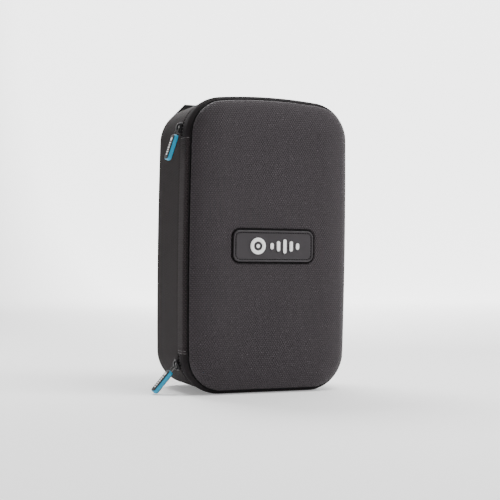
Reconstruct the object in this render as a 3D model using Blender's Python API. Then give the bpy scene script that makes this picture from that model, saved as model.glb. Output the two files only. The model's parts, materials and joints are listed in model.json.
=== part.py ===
"""Upright zip case for a hand-held thermal camera.

The case stands on the bottom of its zip ridge. X is to the right, Y runs back
from the plane of the ridge and Z is up from the floor. The lid faces -Y and
turns about an upright axis beside the zip on the left.
"""
import math

import bmesh
import bpy
from mathutils import Matrix, Vector

# Overall form
WIDTH = 0.158               # across the ridge, which is the widest part
HEIGHT = 0.260              # floor to the top of the ridge
CORNER = 0.034              # corner radius of the ridge
TOP_CROWN = 0.0022          # how far the top edge bows up
SIDE_CROWN = 0.0010         # how far each side bows out
BACK_DEPTH = 0.0785         # ridge plane to the rear face
LID_DEPTH = 0.0165          # ridge plane to the lid's flat face
GAP = 0.0003                # between pieces that touch

# Band round the front, where the zip runs
LIP_DEPTH = 0.0056          # ridge plane forward to the lid's lip
LIP_INSET = 0.0036          # lid's lip in from the ridge
CREST_FRONT = 0.0017        # the band's flat crest, forward of the ridge plane
CREST_BACK = 0.0026         # and back from it
CREST_CURVE = 1.3           # how slowly the band falls away from its crest, as a power
ZIP_DEPTH = 0.0104          # ridge plane back to the zip line
ZIP_INSET = 0.0014          # zip line in from the ridge
TAPE = 0.0016               # thickness of the band's cloth
COIL_WIDTH = 0.0015         # one side of the coil, along Y
COIL_THICK = 0.0013
COIL_SINK = 0.0002          # coil below the band's face
BACK_TAPE_WIDTH = 0.0080
BACK_TAPE = 0.0008
PIPING_WIDTH = 0.0014
PIPING_SINK = 0.0008

# Moulded shells
SHELL = 0.0024              # wall of both shells
BACK_TAPER = 0.0006         # the back shell narrows by this on each side
BACK_ROUND = 0.0158         # rounding round the rear face
TOP_FALL = 0.0034           # the back shell's top drops by this from the zip to the rear face
LID_ROUND_IN = 0.0240       # the lid's edge rounding, measured inwards
LINING = 0.0010

# Hinge side
HEM_TOP_BELOW = 0.0380      # upper hem of the gusset, below the top
HEM_BOTTOM = 0.0345         # lower hem of the gusset, above the floor
GUSSET_TOP = 0.0260         # top stretch of the gusset, which stays with the back beside the pull
HINGE_OUT = 0.0005          # hinge axis outside the ridge
SPLIT_PAST_CORNER = 0.0040  # cloth that stays with the back, past each corner
END_STOP = 0.0030           # length of the metal stop at each end of the zip

# Foam insert and its recess
FOAM_FRONT = 0.0140         # ridge plane back to the foam's face
FOAM_FLOOR = 0.0080         # foam left behind the recess
HEAD_WIDTH = 0.0900
HEAD_HEIGHT = 0.0950
HEAD_BELOW_TOP = 0.0300     # top of the recess below the top of the ridge
GRIP_WIDTH = 0.0480
GRIP_FOOT = 0.0300          # foot of the recess above the floor
RECESS_CORNER = 0.0120

# Net pocket in the lid
NET = 0.0008
NET_BACK = 0.0040           # net's rear face, forward of the ridge plane
NET_INSET = 0.0120
NET_TOP_BELOW = 0.0750      # top of the net below the top of the ridge
BINDING_HEIGHT = 0.0110
BINDING = 0.0018
BINDING_EASE = 0.0005       # rounding of the binding's edges

# Badge
BADGE_WIDTH = 0.0768
BADGE_HEIGHT = 0.0272
BADGE_CORNER = 0.0060
BADGE_RISE = 0.0010
BADGE_RECESS = 0.0008
BADGE_DROP = 0.0011         # badge centre below the middle of the case
BADGE_BEZEL = 0.0014        # width of the groove round the badge
EMBLEM = 0.0004             # height of the raised white mark
RING_OUTER = 0.0144         # outer diameter of the mark's ring
RING_INNER = 0.0080
RING_DOT = 0.0034
RING_OFFSET = 0.0155        # ring's centre left of the badge's centre
BAR_WIDTH = 0.0032
BAR_CORNER = 0.0014
BAR_PITCH = 0.0062
BAR_SHORT = 0.0056
BAR_STEP = 0.0034           # each bar is this much taller than its outer neighbour
BARS = 5

# Sliders and pulls
UPPER_ANGLE = 10.0          # degrees round the corner, up from its start
LOWER_ANGLE = 15.0          # degrees round the corner, down from its start
SLIDER_LENGTH = 0.0100
SLIDER_WIDTH = 0.0084
SLIDER_THICK = 0.0017
SLIDER_EASE = 0.0005        # rounding of the slider's edges
BRIDGE_WIDTH = 0.0024
BRIDGE_BAR = 0.0011
BRIDGE_FOOT = 0.0014        # length of each foot of the bridge
BRIDGE_HOLE = 0.0021        # height of the eye under the bridge
BRIDGE_LENGTH = 0.0076
WIRE = 0.0013               # thickness of the bail
BAIL_WIDTH = 0.0058
BAIL_LENGTH = 0.0058        # pivot to the end of the tab
TAB_LENGTH = 0.0230
TAB_WIDTH = 0.0085
TAB_CORE = 0.0024
TAB_FACE = 0.0007
UPPER_LIE = 18.0            # degrees the upper pull leans out from straight down
LOWER_LIE = 41.0            # degrees the lower pull leans out from straight down

# Handle on the rear face
HANDLE_SPAN = 0.1240
HANDLE_TOP_BELOW = 0.0013   # top of the handle below the top of the ridge
HANDLE_DROP = 0.0410        # top of the handle down to its fold
WEBBING_WIDTH = 0.0250
WEBBING = 0.0025
MITRE = 0.0150
INNER_MITRE = 0.0060        # nick of the fold at the handle's inner corners
SEWN_LENGTH = 0.0260

SIDE_STEPS = 4
CORNER_STEPS = 8
ROUND_STEPS = 5



def clear_scene():
    """Remove whatever the file already holds."""
    for old in list(bpy.data.objects):
        bpy.data.objects.remove(old, do_unlink=True)


def new_collection(name):
    """A collection linked to the scene."""
    made = bpy.data.collections.new(name)
    bpy.context.scene.collection.children.link(made)
    return made


def material(name, colour, roughness, metallic=0.0):
    """A Principled material of one colour."""
    made = bpy.data.materials.new(name)
    made.use_nodes = True
    shader = made.node_tree.nodes["Principled BSDF"]
    shader.inputs["Base Color"].default_value = (*colour, 1.0)
    shader.inputs["Roughness"].default_value = roughness
    shader.inputs["Metallic"].default_value = metallic
    return made


def add_object(name, mesh, finish, collection):
    """An object for a mesh, with its material and smooth round faces."""
    mesh.materials.clear()
    mesh.materials.append(finish)
    mesh.shade_smooth()
    mesh.set_sharp_from_angle(angle=math.radians(32.0))
    made = bpy.data.objects.new(name, mesh)
    collection.objects.link(made)
    return made


def mesh_from(name, bm):
    """Turn a bmesh into a mesh whose faces point outwards."""
    bmesh.ops.recalc_face_normals(bm, faces=bm.faces)
    mesh = bpy.data.meshes.new(name)
    bm.to_mesh(mesh)
    bm.free()
    return mesh


def bowed_side(start, end, crown):
    """Points and outward normals from start to end, bowed out by crown."""
    chord = end - start
    half = chord.length / 2.0
    along = chord.normalized()
    outward = Vector((along.y, -along.x))
    middle = (start + end) / 2.0
    samples = []
    for step in range(SIDE_STEPS + 1):
        t = 2.0 * step / SIDE_STEPS - 1.0
        if crown <= 0.0:
            samples.append((middle + along * half * t, outward))
            continue
        radius = (half * half + crown * crown) / (2.0 * crown)
        turn = math.asin(half / radius) * t
        normal = outward * math.cos(turn) + along * math.sin(turn)
        samples.append((middle + outward * (crown - radius) + normal * radius, normal))
    return samples


def corner_centres():
    """Centres of the corner arcs as (x, z), from the lower right round to the lower left."""
    side = WIDTH / 2.0 - CORNER - SIDE_CROWN
    top = HEIGHT - CORNER - TOP_CROWN
    return [Vector((side, CORNER)), Vector((side, top)), Vector((-side, top)), Vector((-side, CORNER))]


def outline():
    """The ridge's outline as (centre, normal) pairs that any inset can be read from."""
    corners = corner_centres()
    crowns = [SIDE_CROWN, TOP_CROWN, SIDE_CROWN, 0.0]
    sides = []
    for index, crown in enumerate(crowns):
        sides.append(bowed_side(corners[index], corners[(index + 1) % 4], crown))
    samples = []
    for index, side in enumerate(sides):
        samples.extend(side)
        first = side[-1][1]
        turn = first.angle_signed(sides[(index + 1) % 4][0][1])
        for step in range(1, CORNER_STEPS):
            normal = first.copy()
            normal.rotate(Matrix.Rotation(-turn * step / CORNER_STEPS, 2))
            samples.append((side[-1][0], normal))
    return samples


def top_fall(depth):
    """How far the top of the back shell has dropped at a depth."""
    return TOP_FALL * max(0.0, depth - ZIP_DEPTH) / (BACK_DEPTH - ZIP_DEPTH)


def section_points(samples, inset, depth):
    """One ring of the outline, moved in by inset and placed at depth."""
    top = corner_centres()[1].y - GAP
    points = []
    for centre, normal in samples:
        point = centre + normal * (CORNER - inset)
        fall = top_fall(depth) if centre.y > top else 0.0
        points.append(Vector((point.x, depth, point.y - fall)))
    return points


def loft(name, sections, ring=False):
    """A solid through sections (inset, depth) of the outline; a ring closes on itself."""
    samples = outline()
    bm = bmesh.new()
    rows = []
    for inset, depth in sections:
        rows.append([bm.verts.new(point) for point in section_points(samples, inset, depth)])
    pairs = list(zip(rows, rows[1:]))
    if ring:
        pairs.append((rows[-1], rows[0]))
    count = len(samples)
    for near, far in pairs:
        for index in range(count):
            following = (index + 1) % count
            bm.faces.new((near[index], near[following], far[following], far[index]))
    if not ring:
        bm.faces.new(rows[0])
        bm.faces.new(rows[-1])
    return mesh_from(name, bm)


def quarter(inset, depth, reach_in, reach_along):
    """Sections round an elliptical edge that turns from the side to a flat face."""
    sections = []
    for step in range(1, ROUND_STEPS + 1):
        turn = math.pi / 2.0 * step / ROUND_STEPS
        sections.append((inset + reach_in * (1.0 - math.cos(turn)), depth + reach_along * math.sin(turn)))
    return sections


def box_mesh(name, low, high, bevel=0.0):
    """A box between two corners, with its edges eased."""
    bm = bmesh.new()
    bmesh.ops.create_cube(bm, size=1.0)
    low = Vector(low)
    high = Vector(high)
    size = high - low
    bmesh.ops.scale(bm, vec=size, verts=bm.verts)
    bmesh.ops.translate(bm, vec=(low + high) / 2.0, verts=bm.verts)
    if bevel > 0.0:
        bmesh.ops.bevel(bm, geom=list(bm.edges), offset=bevel, segments=1, affect="EDGES")
    return mesh_from(name, bm)


def rounded_plate(name, width, height, radius, low, high, steps=4):
    """A plate with round corners, centred on X and Z, between two depths in Y."""
    bm = bmesh.new()
    ring = []
    for turn, sign_x, sign_z in ((0, 1, 1), (90, -1, 1), (180, -1, -1), (270, 1, -1)):
        for step in range(steps + 1):
            angle = math.radians(turn + 90.0 * step / steps)
            x = sign_x * (width / 2.0 - radius) + radius * math.cos(angle)
            z = sign_z * (height / 2.0 - radius) + radius * math.sin(angle)
            ring.append(bm.verts.new((x, low, z)))
    face = bm.faces.new(ring)
    grown = bmesh.ops.extrude_face_region(bm, geom=[face])
    moved = [item for item in grown["geom"] if isinstance(item, bmesh.types.BMVert)]
    bmesh.ops.translate(bm, vec=(0.0, high - low, 0.0), verts=moved)
    return mesh_from(name, bm)


def disc_mesh(name, diameter, low, high):
    """A disc that faces along Y, between two depths."""
    bm = bmesh.new()
    radius = diameter / 2.0
    bmesh.ops.create_cone(bm, cap_ends=True, segments=28, radius1=radius, radius2=radius, depth=high - low)
    bmesh.ops.rotate(bm, cent=(0, 0, 0), matrix=Matrix.Rotation(math.radians(90.0), 3, "X"), verts=bm.verts)
    bmesh.ops.translate(bm, vec=(0.0, (low + high) / 2.0, 0.0), verts=bm.verts)
    return mesh_from(name, bm)


def apply_boolean(target, cutter, operation):
    """Cut, join or intersect a mesh object with another, and keep the result."""
    modifier = target.modifiers.new("cut", "BOOLEAN")
    modifier.operation = operation
    modifier.solver = "EXACT"
    modifier.object = cutter
    bpy.context.view_layer.update()
    graph = bpy.context.evaluated_depsgraph_get()
    result = bpy.data.meshes.new_from_object(target.evaluated_get(graph))
    target.modifiers.remove(modifier)
    target.data = result
    result.shade_smooth()
    result.set_sharp_from_angle(angle=math.radians(32.0))


def cutter_object(name, mesh, cutters):
    """A tool that shapes other pieces and is no part of the model."""
    tool = bpy.data.objects.new(name, mesh)
    tool.display_type = "WIRE"
    tool.hide_render = True
    cutters.objects.link(tool)
    return tool


def wire_object(name, points, finish, collection):
    """A round wire through points, made a mesh with its end caps welded on."""
    curve = bpy.data.curves.new(name, "CURVE")
    curve.dimensions = "3D"
    curve.bevel_depth = WIRE / 2.0
    curve.bevel_resolution = 2
    curve.use_fill_caps = True
    spline = curve.splines.new("POLY")
    spline.points.add(len(points) - 1)
    for place, point in zip(spline.points, points):
        place.co = (*point, 1.0)
    rough = bpy.data.objects.new(name + "_curve", curve)
    collection.objects.link(rough)
    bpy.context.view_layer.update()
    graph = bpy.context.evaluated_depsgraph_get()
    mesh = bpy.data.meshes.new_from_object(rough.evaluated_get(graph))
    bpy.data.objects.remove(rough, do_unlink=True)
    bm = bmesh.new()
    bm.from_mesh(mesh)
    bmesh.ops.remove_doubles(bm, verts=bm.verts, dist=0.00001)
    bm.to_mesh(mesh)
    bm.free()
    return add_object(name, mesh, finish, collection)


def hinge_axis_x():
    """X of the upright axis that the lid turns about, at the depth of the zip line."""
    return -WIDTH / 2.0 - HINGE_OUT


def split_radius():
    """Cloth nearer the hinge axis than this stays with the back shell."""
    return math.hypot(CORNER + SPLIT_PAST_CORNER, LIP_DEPTH + ZIP_DEPTH)


def hinge_cylinder(name, radius, low, high, cutters):
    """An upright cylinder on the hinge axis between two heights."""
    bm = bmesh.new()
    bmesh.ops.create_cone(bm, cap_ends=True, segments=64, radius1=radius, radius2=radius, depth=high - low)
    bmesh.ops.translate(bm, vec=(hinge_axis_x(), ZIP_DEPTH, (low + high) / 2.0), verts=bm.verts)
    return cutter_object(name, mesh_from(name, bm), cutters)


def left_side_box(name, low, high, cutters):
    """A box that holds the straight left side of the band between two heights."""
    inner = -WIDTH / 2.0 + CORNER
    outer = -WIDTH / 2.0 - CORNER
    mesh = box_mesh(name, (outer, -LID_DEPTH, low), (inner, ZIP_DEPTH + CORNER, high))
    return cutter_object(name, mesh, cutters)


def band_sections(front, back, thickness, sink=0.0):
    """Closed section of the band between two depths, following its crest."""
    def inset_at(depth):
        if depth < -CREST_FRONT:
            return LIP_INSET * ((-CREST_FRONT - depth) / (LIP_DEPTH - CREST_FRONT)) ** CREST_CURVE
        if depth > CREST_BACK:
            return ZIP_INSET * ((depth - CREST_BACK) / (ZIP_DEPTH - CREST_BACK)) ** CREST_CURVE
        return 0.0

    depths = [front, (front - CREST_FRONT) / 2.0, -CREST_FRONT, CREST_BACK, (CREST_BACK + back) / 2.0, back]
    outer = [(inset_at(depth) + sink, depth) for depth in depths]
    inner = [(inset + thickness, depth) for inset, depth in reversed(outer)]
    return outer + inner


def strip_sections(inset, thickness, front, back):
    """Closed square section of a plain strip."""
    return [(inset, front), (inset, back), (inset + thickness, back), (inset + thickness, front)]


def hem_top():
    """Height of the gusset's upper hem."""
    return HEIGHT - HEM_TOP_BELOW


def coil_inset():
    """Inset of the coil's outer face."""
    return ZIP_INSET + COIL_SINK


def lid_coil_front():
    """Depth where the lid's side of the coil starts."""
    return ZIP_DEPTH - GAP / 2.0 - COIL_WIDTH


def back_coil_end():
    """Depth where the back's side of the coil ends."""
    return ZIP_DEPTH + GAP / 2.0 + COIL_WIDTH


def back_rim():
    """Depth of the back shell's front edge."""
    return back_coil_end() + GAP


def shell_sections(inset, rim, taper, reach_in, reach_along, face, wall):
    """Sections of an open tray: in along the inner face, round the rim and out along the outer one."""
    way = 1.0 if face > rim else -1.0
    straight = abs(face - rim) - reach_along
    outer = [(inset, rim), (inset + taper, rim + way * straight)]
    outer += quarter(inset + taper, rim + way * straight, reach_in, way * reach_along)
    inner_round = reach_in - wall
    inner_along = reach_along - wall
    inner_straight = straight + reach_along - wall - inner_along
    inner = [(inset + wall, rim), (inset + taper + wall, rim + way * inner_straight)]
    inner += quarter(inset + taper + wall, rim + way * inner_straight, inner_round, way * inner_along)
    return list(reversed(inner)) + outer


def build_shells(parts, finishes):
    """The two moulded shells and their linings."""
    lip = LIP_DEPTH + PIPING_WIDTH + GAP
    rim = back_rim()
    sections = shell_sections(ZIP_INSET, rim, BACK_TAPER, BACK_ROUND, BACK_ROUND, BACK_DEPTH, SHELL)
    add_object("back_shell", loft("back_shell", sections), finishes["shell"], parts)

    round_along = LID_DEPTH - lip
    sections = shell_sections(LIP_INSET, -lip, 0.0, LID_ROUND_IN, round_along, -LID_DEPTH, SHELL)
    lid = add_object("lid_shell", loft("lid_shell", sections), finishes["shell"], parts)

    wall = SHELL + GAP
    front = rim + BACK_TAPE_WIDTH + GAP
    taper = BACK_TAPER
    inset = ZIP_INSET + wall
    back_round = BACK_ROUND - wall
    sections = shell_sections(inset, front, taper, back_round, back_round, BACK_DEPTH - wall, LINING)
    add_object("back_lining", loft("back_lining", sections), finishes["lining"], parts)

    sections = shell_sections(LIP_INSET + wall, -lip, 0.0, LID_ROUND_IN - wall, round_along - wall,
                              -LID_DEPTH + wall, LINING)
    add_object("lid_lining", loft("lid_lining", sections), finishes["lining"], parts)
    return lid


def build_band(parts, cutters, finishes):
    """Cloth and coil of the zip on both sides, with the ends that stay at the hinge side."""
    front = -LIP_DEPTH
    back = lid_coil_front() - GAP
    radius = split_radius()
    below = -CORNER
    above = HEIGHT + CORNER
    lid_side = hinge_cylinder("cut_lid_side", radius + GAP, below, above, cutters)
    upper = hinge_cylinder("keep_upper_end", radius, hem_top(), above, cutters)
    lower = hinge_cylinder("keep_lower_end", radius, below, HEM_BOTTOM, cutters)
    split = hem_top() - GUSSET_TOP
    hinge = left_side_box("keep_hinge_side", HEM_BOTTOM + GAP, split - GAP / 2.0, cutters)
    top_end = left_side_box("keep_hinge_top", split + GAP / 2.0, hem_top() - GAP, cutters)
    hems = left_side_box("keep_hems", HEM_BOTTOM + GAP, hem_top() - GAP, cutters)
    opening = left_side_box("cut_hinge_side", HEM_BOTTOM, hem_top(), cutters)

    cloth = band_sections(front, back, TAPE)
    gusset = band_sections(front, ZIP_DEPTH - GAP, TAPE)
    pieces = (
        ("lid_zip_tape", cloth, lid_side, "DIFFERENCE", "tape"),
        ("upper_zip_end", cloth, upper, "INTERSECT", "tape"),
        ("lower_zip_end", cloth, lower, "INTERSECT", "tape"),
        ("hinge_gusset", gusset, hinge, "INTERSECT", "shell"),
        ("gusset_top_end", gusset, top_end, "INTERSECT", "shell"),
        ("lid_zip_coil", strip_sections(coil_inset(), COIL_THICK, lid_coil_front(), ZIP_DEPTH - GAP / 2.0),
         lid_side, "DIFFERENCE", "coil"),
        ("back_zip_coil", strip_sections(coil_inset(), COIL_THICK, ZIP_DEPTH + GAP / 2.0, back_coil_end()),
         opening, "DIFFERENCE", "coil"),
        ("gusset_back_hem", strip_sections(ZIP_INSET, TAPE, ZIP_DEPTH + GAP / 2.0, back_coil_end()),
         hems, "INTERSECT", "shell"),
    )
    for name, sections, tool, operation, finish in pieces:
        piece = add_object(name, loft(name, sections, ring=True), finishes[finish], parts)
        apply_boolean(piece, tool, operation)

    inset = LIP_INSET + PIPING_SINK
    piping = strip_sections(inset, TAPE, -LIP_DEPTH - PIPING_WIDTH, -LIP_DEPTH - GAP)
    add_object("lid_piping", loft("lid_piping", piping, ring=True), finishes["piping"], parts)
    inset = ZIP_INSET + back_narrowing(back_rim() + BACK_TAPE_WIDTH) + SHELL + GAP
    tape = strip_sections(inset, BACK_TAPE, back_rim(), back_rim() + BACK_TAPE_WIDTH)
    add_object("back_zip_tape", loft("back_zip_tape", tape, ring=True), finishes["tape"], parts)


def back_narrowing(depth):
    """How far the back shell has narrowed at a depth on its straight stretch."""
    return BACK_TAPER * (depth - back_rim()) / (BACK_DEPTH - BACK_ROUND - back_rim())


def build_end_stops(parts, finishes):
    """Metal stops where the coil ends, one under each slider."""
    x = -WIDTH / 2.0 + SIDE_CROWN + coil_inset() + COIL_THICK + 2.0 * GAP
    low = ZIP_DEPTH - COIL_WIDTH
    high = ZIP_DEPTH + COIL_WIDTH
    for name, start in (("upper_end_stop", hem_top()), ("lower_end_stop", HEM_BOTTOM - END_STOP)):
        mesh = box_mesh(name, (x, low, start), (x + SLIDER_THICK, high, start + END_STOP), GAP)
        add_object(name, mesh, finishes["metal"], parts)


def build_foam(parts, cutters, finishes):
    """Foam block with a recess for the camera's head and its grip."""
    side = ZIP_INSET + BACK_TAPER + SHELL + LINING + 3.0 * GAP
    back = BACK_DEPTH - SHELL - LINING - 2.0 * GAP
    front = FOAM_FRONT + BACK_TAPE_WIDTH
    ease = BACK_ROUND - SHELL - LINING
    sections = [(side + BACK_TAPE, FOAM_FRONT), (side + BACK_TAPE, front), (side, front + GAP)]
    sections += [(side, back - ease)] + quarter(side, back - ease, ease, ease - GAP)
    foam = add_object("foam_insert", loft("foam_insert", sections), finishes["foam"], parts)

    floor = BACK_DEPTH - SHELL - LINING - FOAM_FLOOR
    head_top = HEIGHT - HEAD_BELOW_TOP
    head = rounded_plate("cut_head", HEAD_WIDTH, HEAD_HEIGHT, RECESS_CORNER, 0.0, floor)
    head_tool = cutter_object("cut_head", head, cutters)
    head_tool.location.z = head_top - HEAD_HEIGHT / 2.0
    apply_boolean(foam, head_tool, "DIFFERENCE")
    grip_height = head_top - HEAD_HEIGHT / 2.0 - GRIP_FOOT
    grip = rounded_plate("cut_grip", GRIP_WIDTH, grip_height, RECESS_CORNER, 0.0, floor - GAP)
    grip_tool = cutter_object("cut_grip", grip, cutters)
    grip_tool.location.z = GRIP_FOOT + grip_height / 2.0
    apply_boolean(foam, grip_tool, "DIFFERENCE")


def build_pocket(parts, cutters, finishes):
    """Net pocket inside the lid, with an elastic binding along its top edge."""
    top = HEIGHT - NET_TOP_BELOW
    back = -NET_BACK
    net = add_object("pocket_net", loft("pocket_net", [(NET_INSET, back - NET), (NET_INSET, back)]),
                     finishes["net"], parts)
    above = box_mesh("cut_net_top", (-WIDTH, back - CORNER, top), (WIDTH, back + CORNER, HEIGHT + CORNER))
    apply_boolean(net, cutter_object("cut_net_top", above, cutters), "DIFFERENCE")
    half = WIDTH / 2.0 - NET_INSET - SIDE_CROWN
    low = (-half, back - NET / 2.0 - BINDING / 2.0, top + GAP)
    high = (half, back - NET / 2.0 + BINDING / 2.0, top + GAP + BINDING_HEIGHT)
    binding = box_mesh("pocket_binding", low, high, BINDING_EASE)
    add_object("pocket_binding", binding, finishes["webbing"], parts)


def build_badge(lid, parts, cutters, finishes):
    """Rubber badge let into the lid, with a raised mark: a ring with a dot, and a row of plain bars."""
    height = HEIGHT / 2.0 - BADGE_DROP
    floor = -LID_DEPTH + BADGE_RECESS
    grow = 2.0 * BADGE_BEZEL
    recess = rounded_plate("cut_badge", BADGE_WIDTH + grow, BADGE_HEIGHT + grow, BADGE_CORNER + BADGE_BEZEL,
                           -LID_DEPTH - CORNER, floor)
    tool = cutter_object("cut_badge", recess, cutters)
    tool.location.z = height
    apply_boolean(lid, tool, "DIFFERENCE")

    face = -LID_DEPTH - BADGE_RISE
    plate = rounded_plate("badge_plate", BADGE_WIDTH, BADGE_HEIGHT, BADGE_CORNER, face, floor - GAP)
    badge = add_object("badge_plate", plate, finishes["rubber"], parts)
    badge.location.z = height
    outer = disc_mesh("badge_ring", RING_OUTER, face - GAP - EMBLEM, face - GAP)
    ring = add_object("badge_ring", outer, finishes["mark"], parts)
    hole = disc_mesh("cut_ring", RING_INNER, face - CORNER, face + CORNER)
    apply_boolean(ring, cutter_object("cut_ring", hole, cutters), "DIFFERENCE")
    dot = disc_mesh("badge_dot", RING_DOT, face - GAP - EMBLEM, face - GAP)
    for mark in (ring, add_object("badge_dot", dot, finishes["mark"], parts)):
        mark.location = (-RING_OFFSET, 0.0, height)
    first = -RING_OFFSET + RING_OUTER / 2.0 + BAR_PITCH
    for index in range(BARS):
        rank = min(index, BARS - 1 - index)
        name = "badge_bar_%d" % (index + 1)
        bar = rounded_plate(name, BAR_WIDTH, BAR_SHORT + BAR_STEP * rank, BAR_CORNER,
                            face - GAP - EMBLEM, face - GAP, steps=3)
        mark = add_object(name, bar, finishes["mark"], parts)
        mark.location = (first + BAR_PITCH * index, 0.0, height)


def slider_mesh(name):
    """Zip slider lying on its track: length along Z, its plate facing -X from the origin."""
    low = -SLIDER_THICK
    plate = box_mesh(name, (low, -SLIDER_WIDTH / 2.0, -SLIDER_LENGTH / 2.0),
                     (0.0, SLIDER_WIDTH / 2.0, SLIDER_LENGTH / 2.0), SLIDER_EASE)
    return plate


def bridge_mesh(name):
    """The slider's bridge as a solid arch before its eye is cut."""
    low = -SLIDER_THICK - BRIDGE_HOLE - BRIDGE_BAR
    return box_mesh(name, (low, -BRIDGE_WIDTH / 2.0, -BRIDGE_LENGTH / 2.0),
                    (-SLIDER_THICK / 2.0, BRIDGE_WIDTH / 2.0, BRIDGE_LENGTH / 2.0), SLIDER_EASE)


def eye_mesh(name):
    """The eye under the bridge that the bail passes through."""
    low = -SLIDER_THICK - BRIDGE_HOLE
    half = BRIDGE_LENGTH / 2.0 - BRIDGE_FOOT
    return box_mesh(name, (low, -BRIDGE_WIDTH, -half), (-SLIDER_THICK, BRIDGE_WIDTH, half))


def build_slider(side, centre, angle, lie, parts, cutters, finishes):
    """One slider with its bail and pull tab, placed round a corner of the track."""
    track = bpy.data.objects.new(side + "_track", None)
    parts.objects.link(track)
    track.location = (centre.x, ZIP_DEPTH, centre.y)
    track.rotation_euler = (0.0, math.radians(angle), 0.0)

    reach = -(CORNER + GAP)
    slider = add_object(side + "_slider", slider_mesh(side + "_slider"), finishes["metal"], parts)
    bridge = cutter_object(side + "_bridge", bridge_mesh(side + "_bridge"), cutters)
    eye = cutter_object(side + "_eye", eye_mesh(side + "_eye"), cutters)
    apply_boolean(slider, bridge, "UNION")
    apply_boolean(slider, eye, "DIFFERENCE")
    slider.parent = track
    slider.data.transform(Matrix.Translation((reach, 0.0, 0.0)))

    pivot = bpy.data.objects.new(side + "_pull_pivot", None)
    parts.objects.link(pivot)
    pivot.parent = track
    pivot.location = (reach - SLIDER_THICK - BRIDGE_HOLE / 2.0, 0.0, 0.0)
    pivot.rotation_euler = (0.0, math.radians(lie - angle), 0.0)

    half = BAIL_WIDTH / 2.0
    end = -BAIL_LENGTH
    ease = WIRE
    one_side = [(0, half - ease, end), (0, half, end + ease), (0, half, -ease / 2.0), (0, half - ease / 2.0, 0)]
    points = one_side + [(0, -y, z) for _, y, z in reversed(one_side)]
    bail = wire_object(side + "_bail", points, finishes["metal"], parts)
    bail.parent = pivot

    top = end - WIRE / 2.0 - GAP
    core = rounded_plate(side + "_tab_core", TAB_WIDTH, TAB_LENGTH, TAB_CORE, -TAB_CORE / 2.0, TAB_CORE / 2.0)
    pieces = [(side + "_tab_core", core, 0.0, finishes["tab"])]
    for face, way in (("outer", -1.0), ("inner", 1.0)):
        name = side + "_tab_" + face + "_face"
        width = TAB_WIDTH - 2.0 * TAB_FACE
        plate = rounded_plate(name, width, TAB_LENGTH - 2.0 * TAB_FACE, TAB_CORE - TAB_FACE,
                              -TAB_FACE / 2.0, TAB_FACE / 2.0)
        pieces.append((name, plate, way * (TAB_CORE / 2.0 + GAP + TAB_FACE / 2.0), finishes["rubber"]))
    for name, mesh, out, finish in pieces:
        mesh.transform(Matrix.Rotation(math.radians(90.0), 4, "Z"))
        mesh.transform(Matrix.Translation((out, 0.0, top - TAB_LENGTH / 2.0)))
        piece = add_object(name, mesh, finish, parts)
        piece.parent = pivot


def handle_mesh(name, thickness):
    """Webbing handle standing up from its fold, with mitred corners, centred in Y."""
    half = HANDLE_SPAN / 2.0
    inner = half - WEBBING_WIDTH
    top = HANDLE_DROP
    under = HANDLE_DROP - WEBBING_WIDTH
    shape = [(half, 0.0), (half, top - MITRE), (half - MITRE, top), (MITRE - half, top), (-half, top - MITRE),
             (-half, 0.0), (-inner, 0.0), (-inner, under - INNER_MITRE), (-inner + INNER_MITRE, under),
             (inner - INNER_MITRE, under), (inner, under - INNER_MITRE), (inner, 0.0)]
    bm = bmesh.new()
    face = bm.faces.new([bm.verts.new((x, -thickness / 2.0, z)) for x, z in shape])
    grown = bmesh.ops.extrude_face_region(bm, geom=[face])
    moved = [item for item in grown["geom"] if isinstance(item, bmesh.types.BMVert)]
    bmesh.ops.translate(bm, vec=(0.0, thickness, 0.0), verts=moved)
    return mesh_from(name, bm)


def build_handle(parts, finishes):
    """Carry handle and its two sewn ends on the rear face."""
    fold = HEIGHT - HANDLE_TOP_BELOW - HANDLE_DROP
    depth = BACK_DEPTH + GAP + WEBBING / 2.0
    handle = add_object("carry_handle", handle_mesh("carry_handle", WEBBING), finishes["webbing"], parts)
    handle.location = (0.0, depth, fold)
    for name, way in (("handle_end_left", -1.0), ("handle_end_right", 1.0)):
        near = way * (HANDLE_SPAN / 2.0 - WEBBING_WIDTH)
        far = way * HANDLE_SPAN / 2.0
        top = fold - WEBBING / 2.0 - GAP
        low = (min(near, far), BACK_DEPTH + GAP, top - SEWN_LENGTH)
        high = (max(near, far), BACK_DEPTH + GAP + WEBBING, top)
        add_object(name, box_mesh(name, low, high, WEBBING / 6.0), finishes["webbing"], parts)


def build():
    """Make every piece of the case."""
    clear_scene()
    parts = new_collection("thermal_camera_case")
    cutters = new_collection("cutters")
    finishes = {
        "shell": material("moulded_cloth", (0.050, 0.047, 0.049), 0.62),
        "tape": material("zip_cloth", (0.030, 0.029, 0.031), 0.85),
        "coil": material("coil", (0.010, 0.010, 0.011), 0.45),
        "piping": material("piping", (0.012, 0.011, 0.012), 0.80),
        "lining": material("lining", (0.060, 0.060, 0.062), 0.90),
        "foam": material("foam", (0.035, 0.035, 0.037), 0.95),
        "net": material("net", (0.020, 0.020, 0.021), 0.80),
        "webbing": material("webbing", (0.040, 0.040, 0.042), 0.85),
        "rubber": material("rubber", (0.045, 0.044, 0.046), 0.55),
        "mark": material("mark", (0.850, 0.850, 0.850), 0.45),
        "metal": material("black_metal", (0.020, 0.020, 0.021), 0.35, 1.0),
        "tab": material("blue_rubber", (0.020, 0.330, 0.560), 0.45),
    }
    lid = build_shells(parts, finishes)
    build_band(parts, cutters, finishes)
    build_end_stops(parts, finishes)
    build_foam(parts, cutters, finishes)
    build_pocket(parts, cutters, finishes)
    build_badge(lid, parts, cutters, finishes)
    corners = corner_centres()
    build_slider("upper", corners[2], UPPER_ANGLE, UPPER_LIE, parts, cutters, finishes)
    build_slider("lower", corners[3], -LOWER_ANGLE, LOWER_LIE, parts, cutters, finishes)
    build_handle(parts, finishes)


build()
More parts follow.
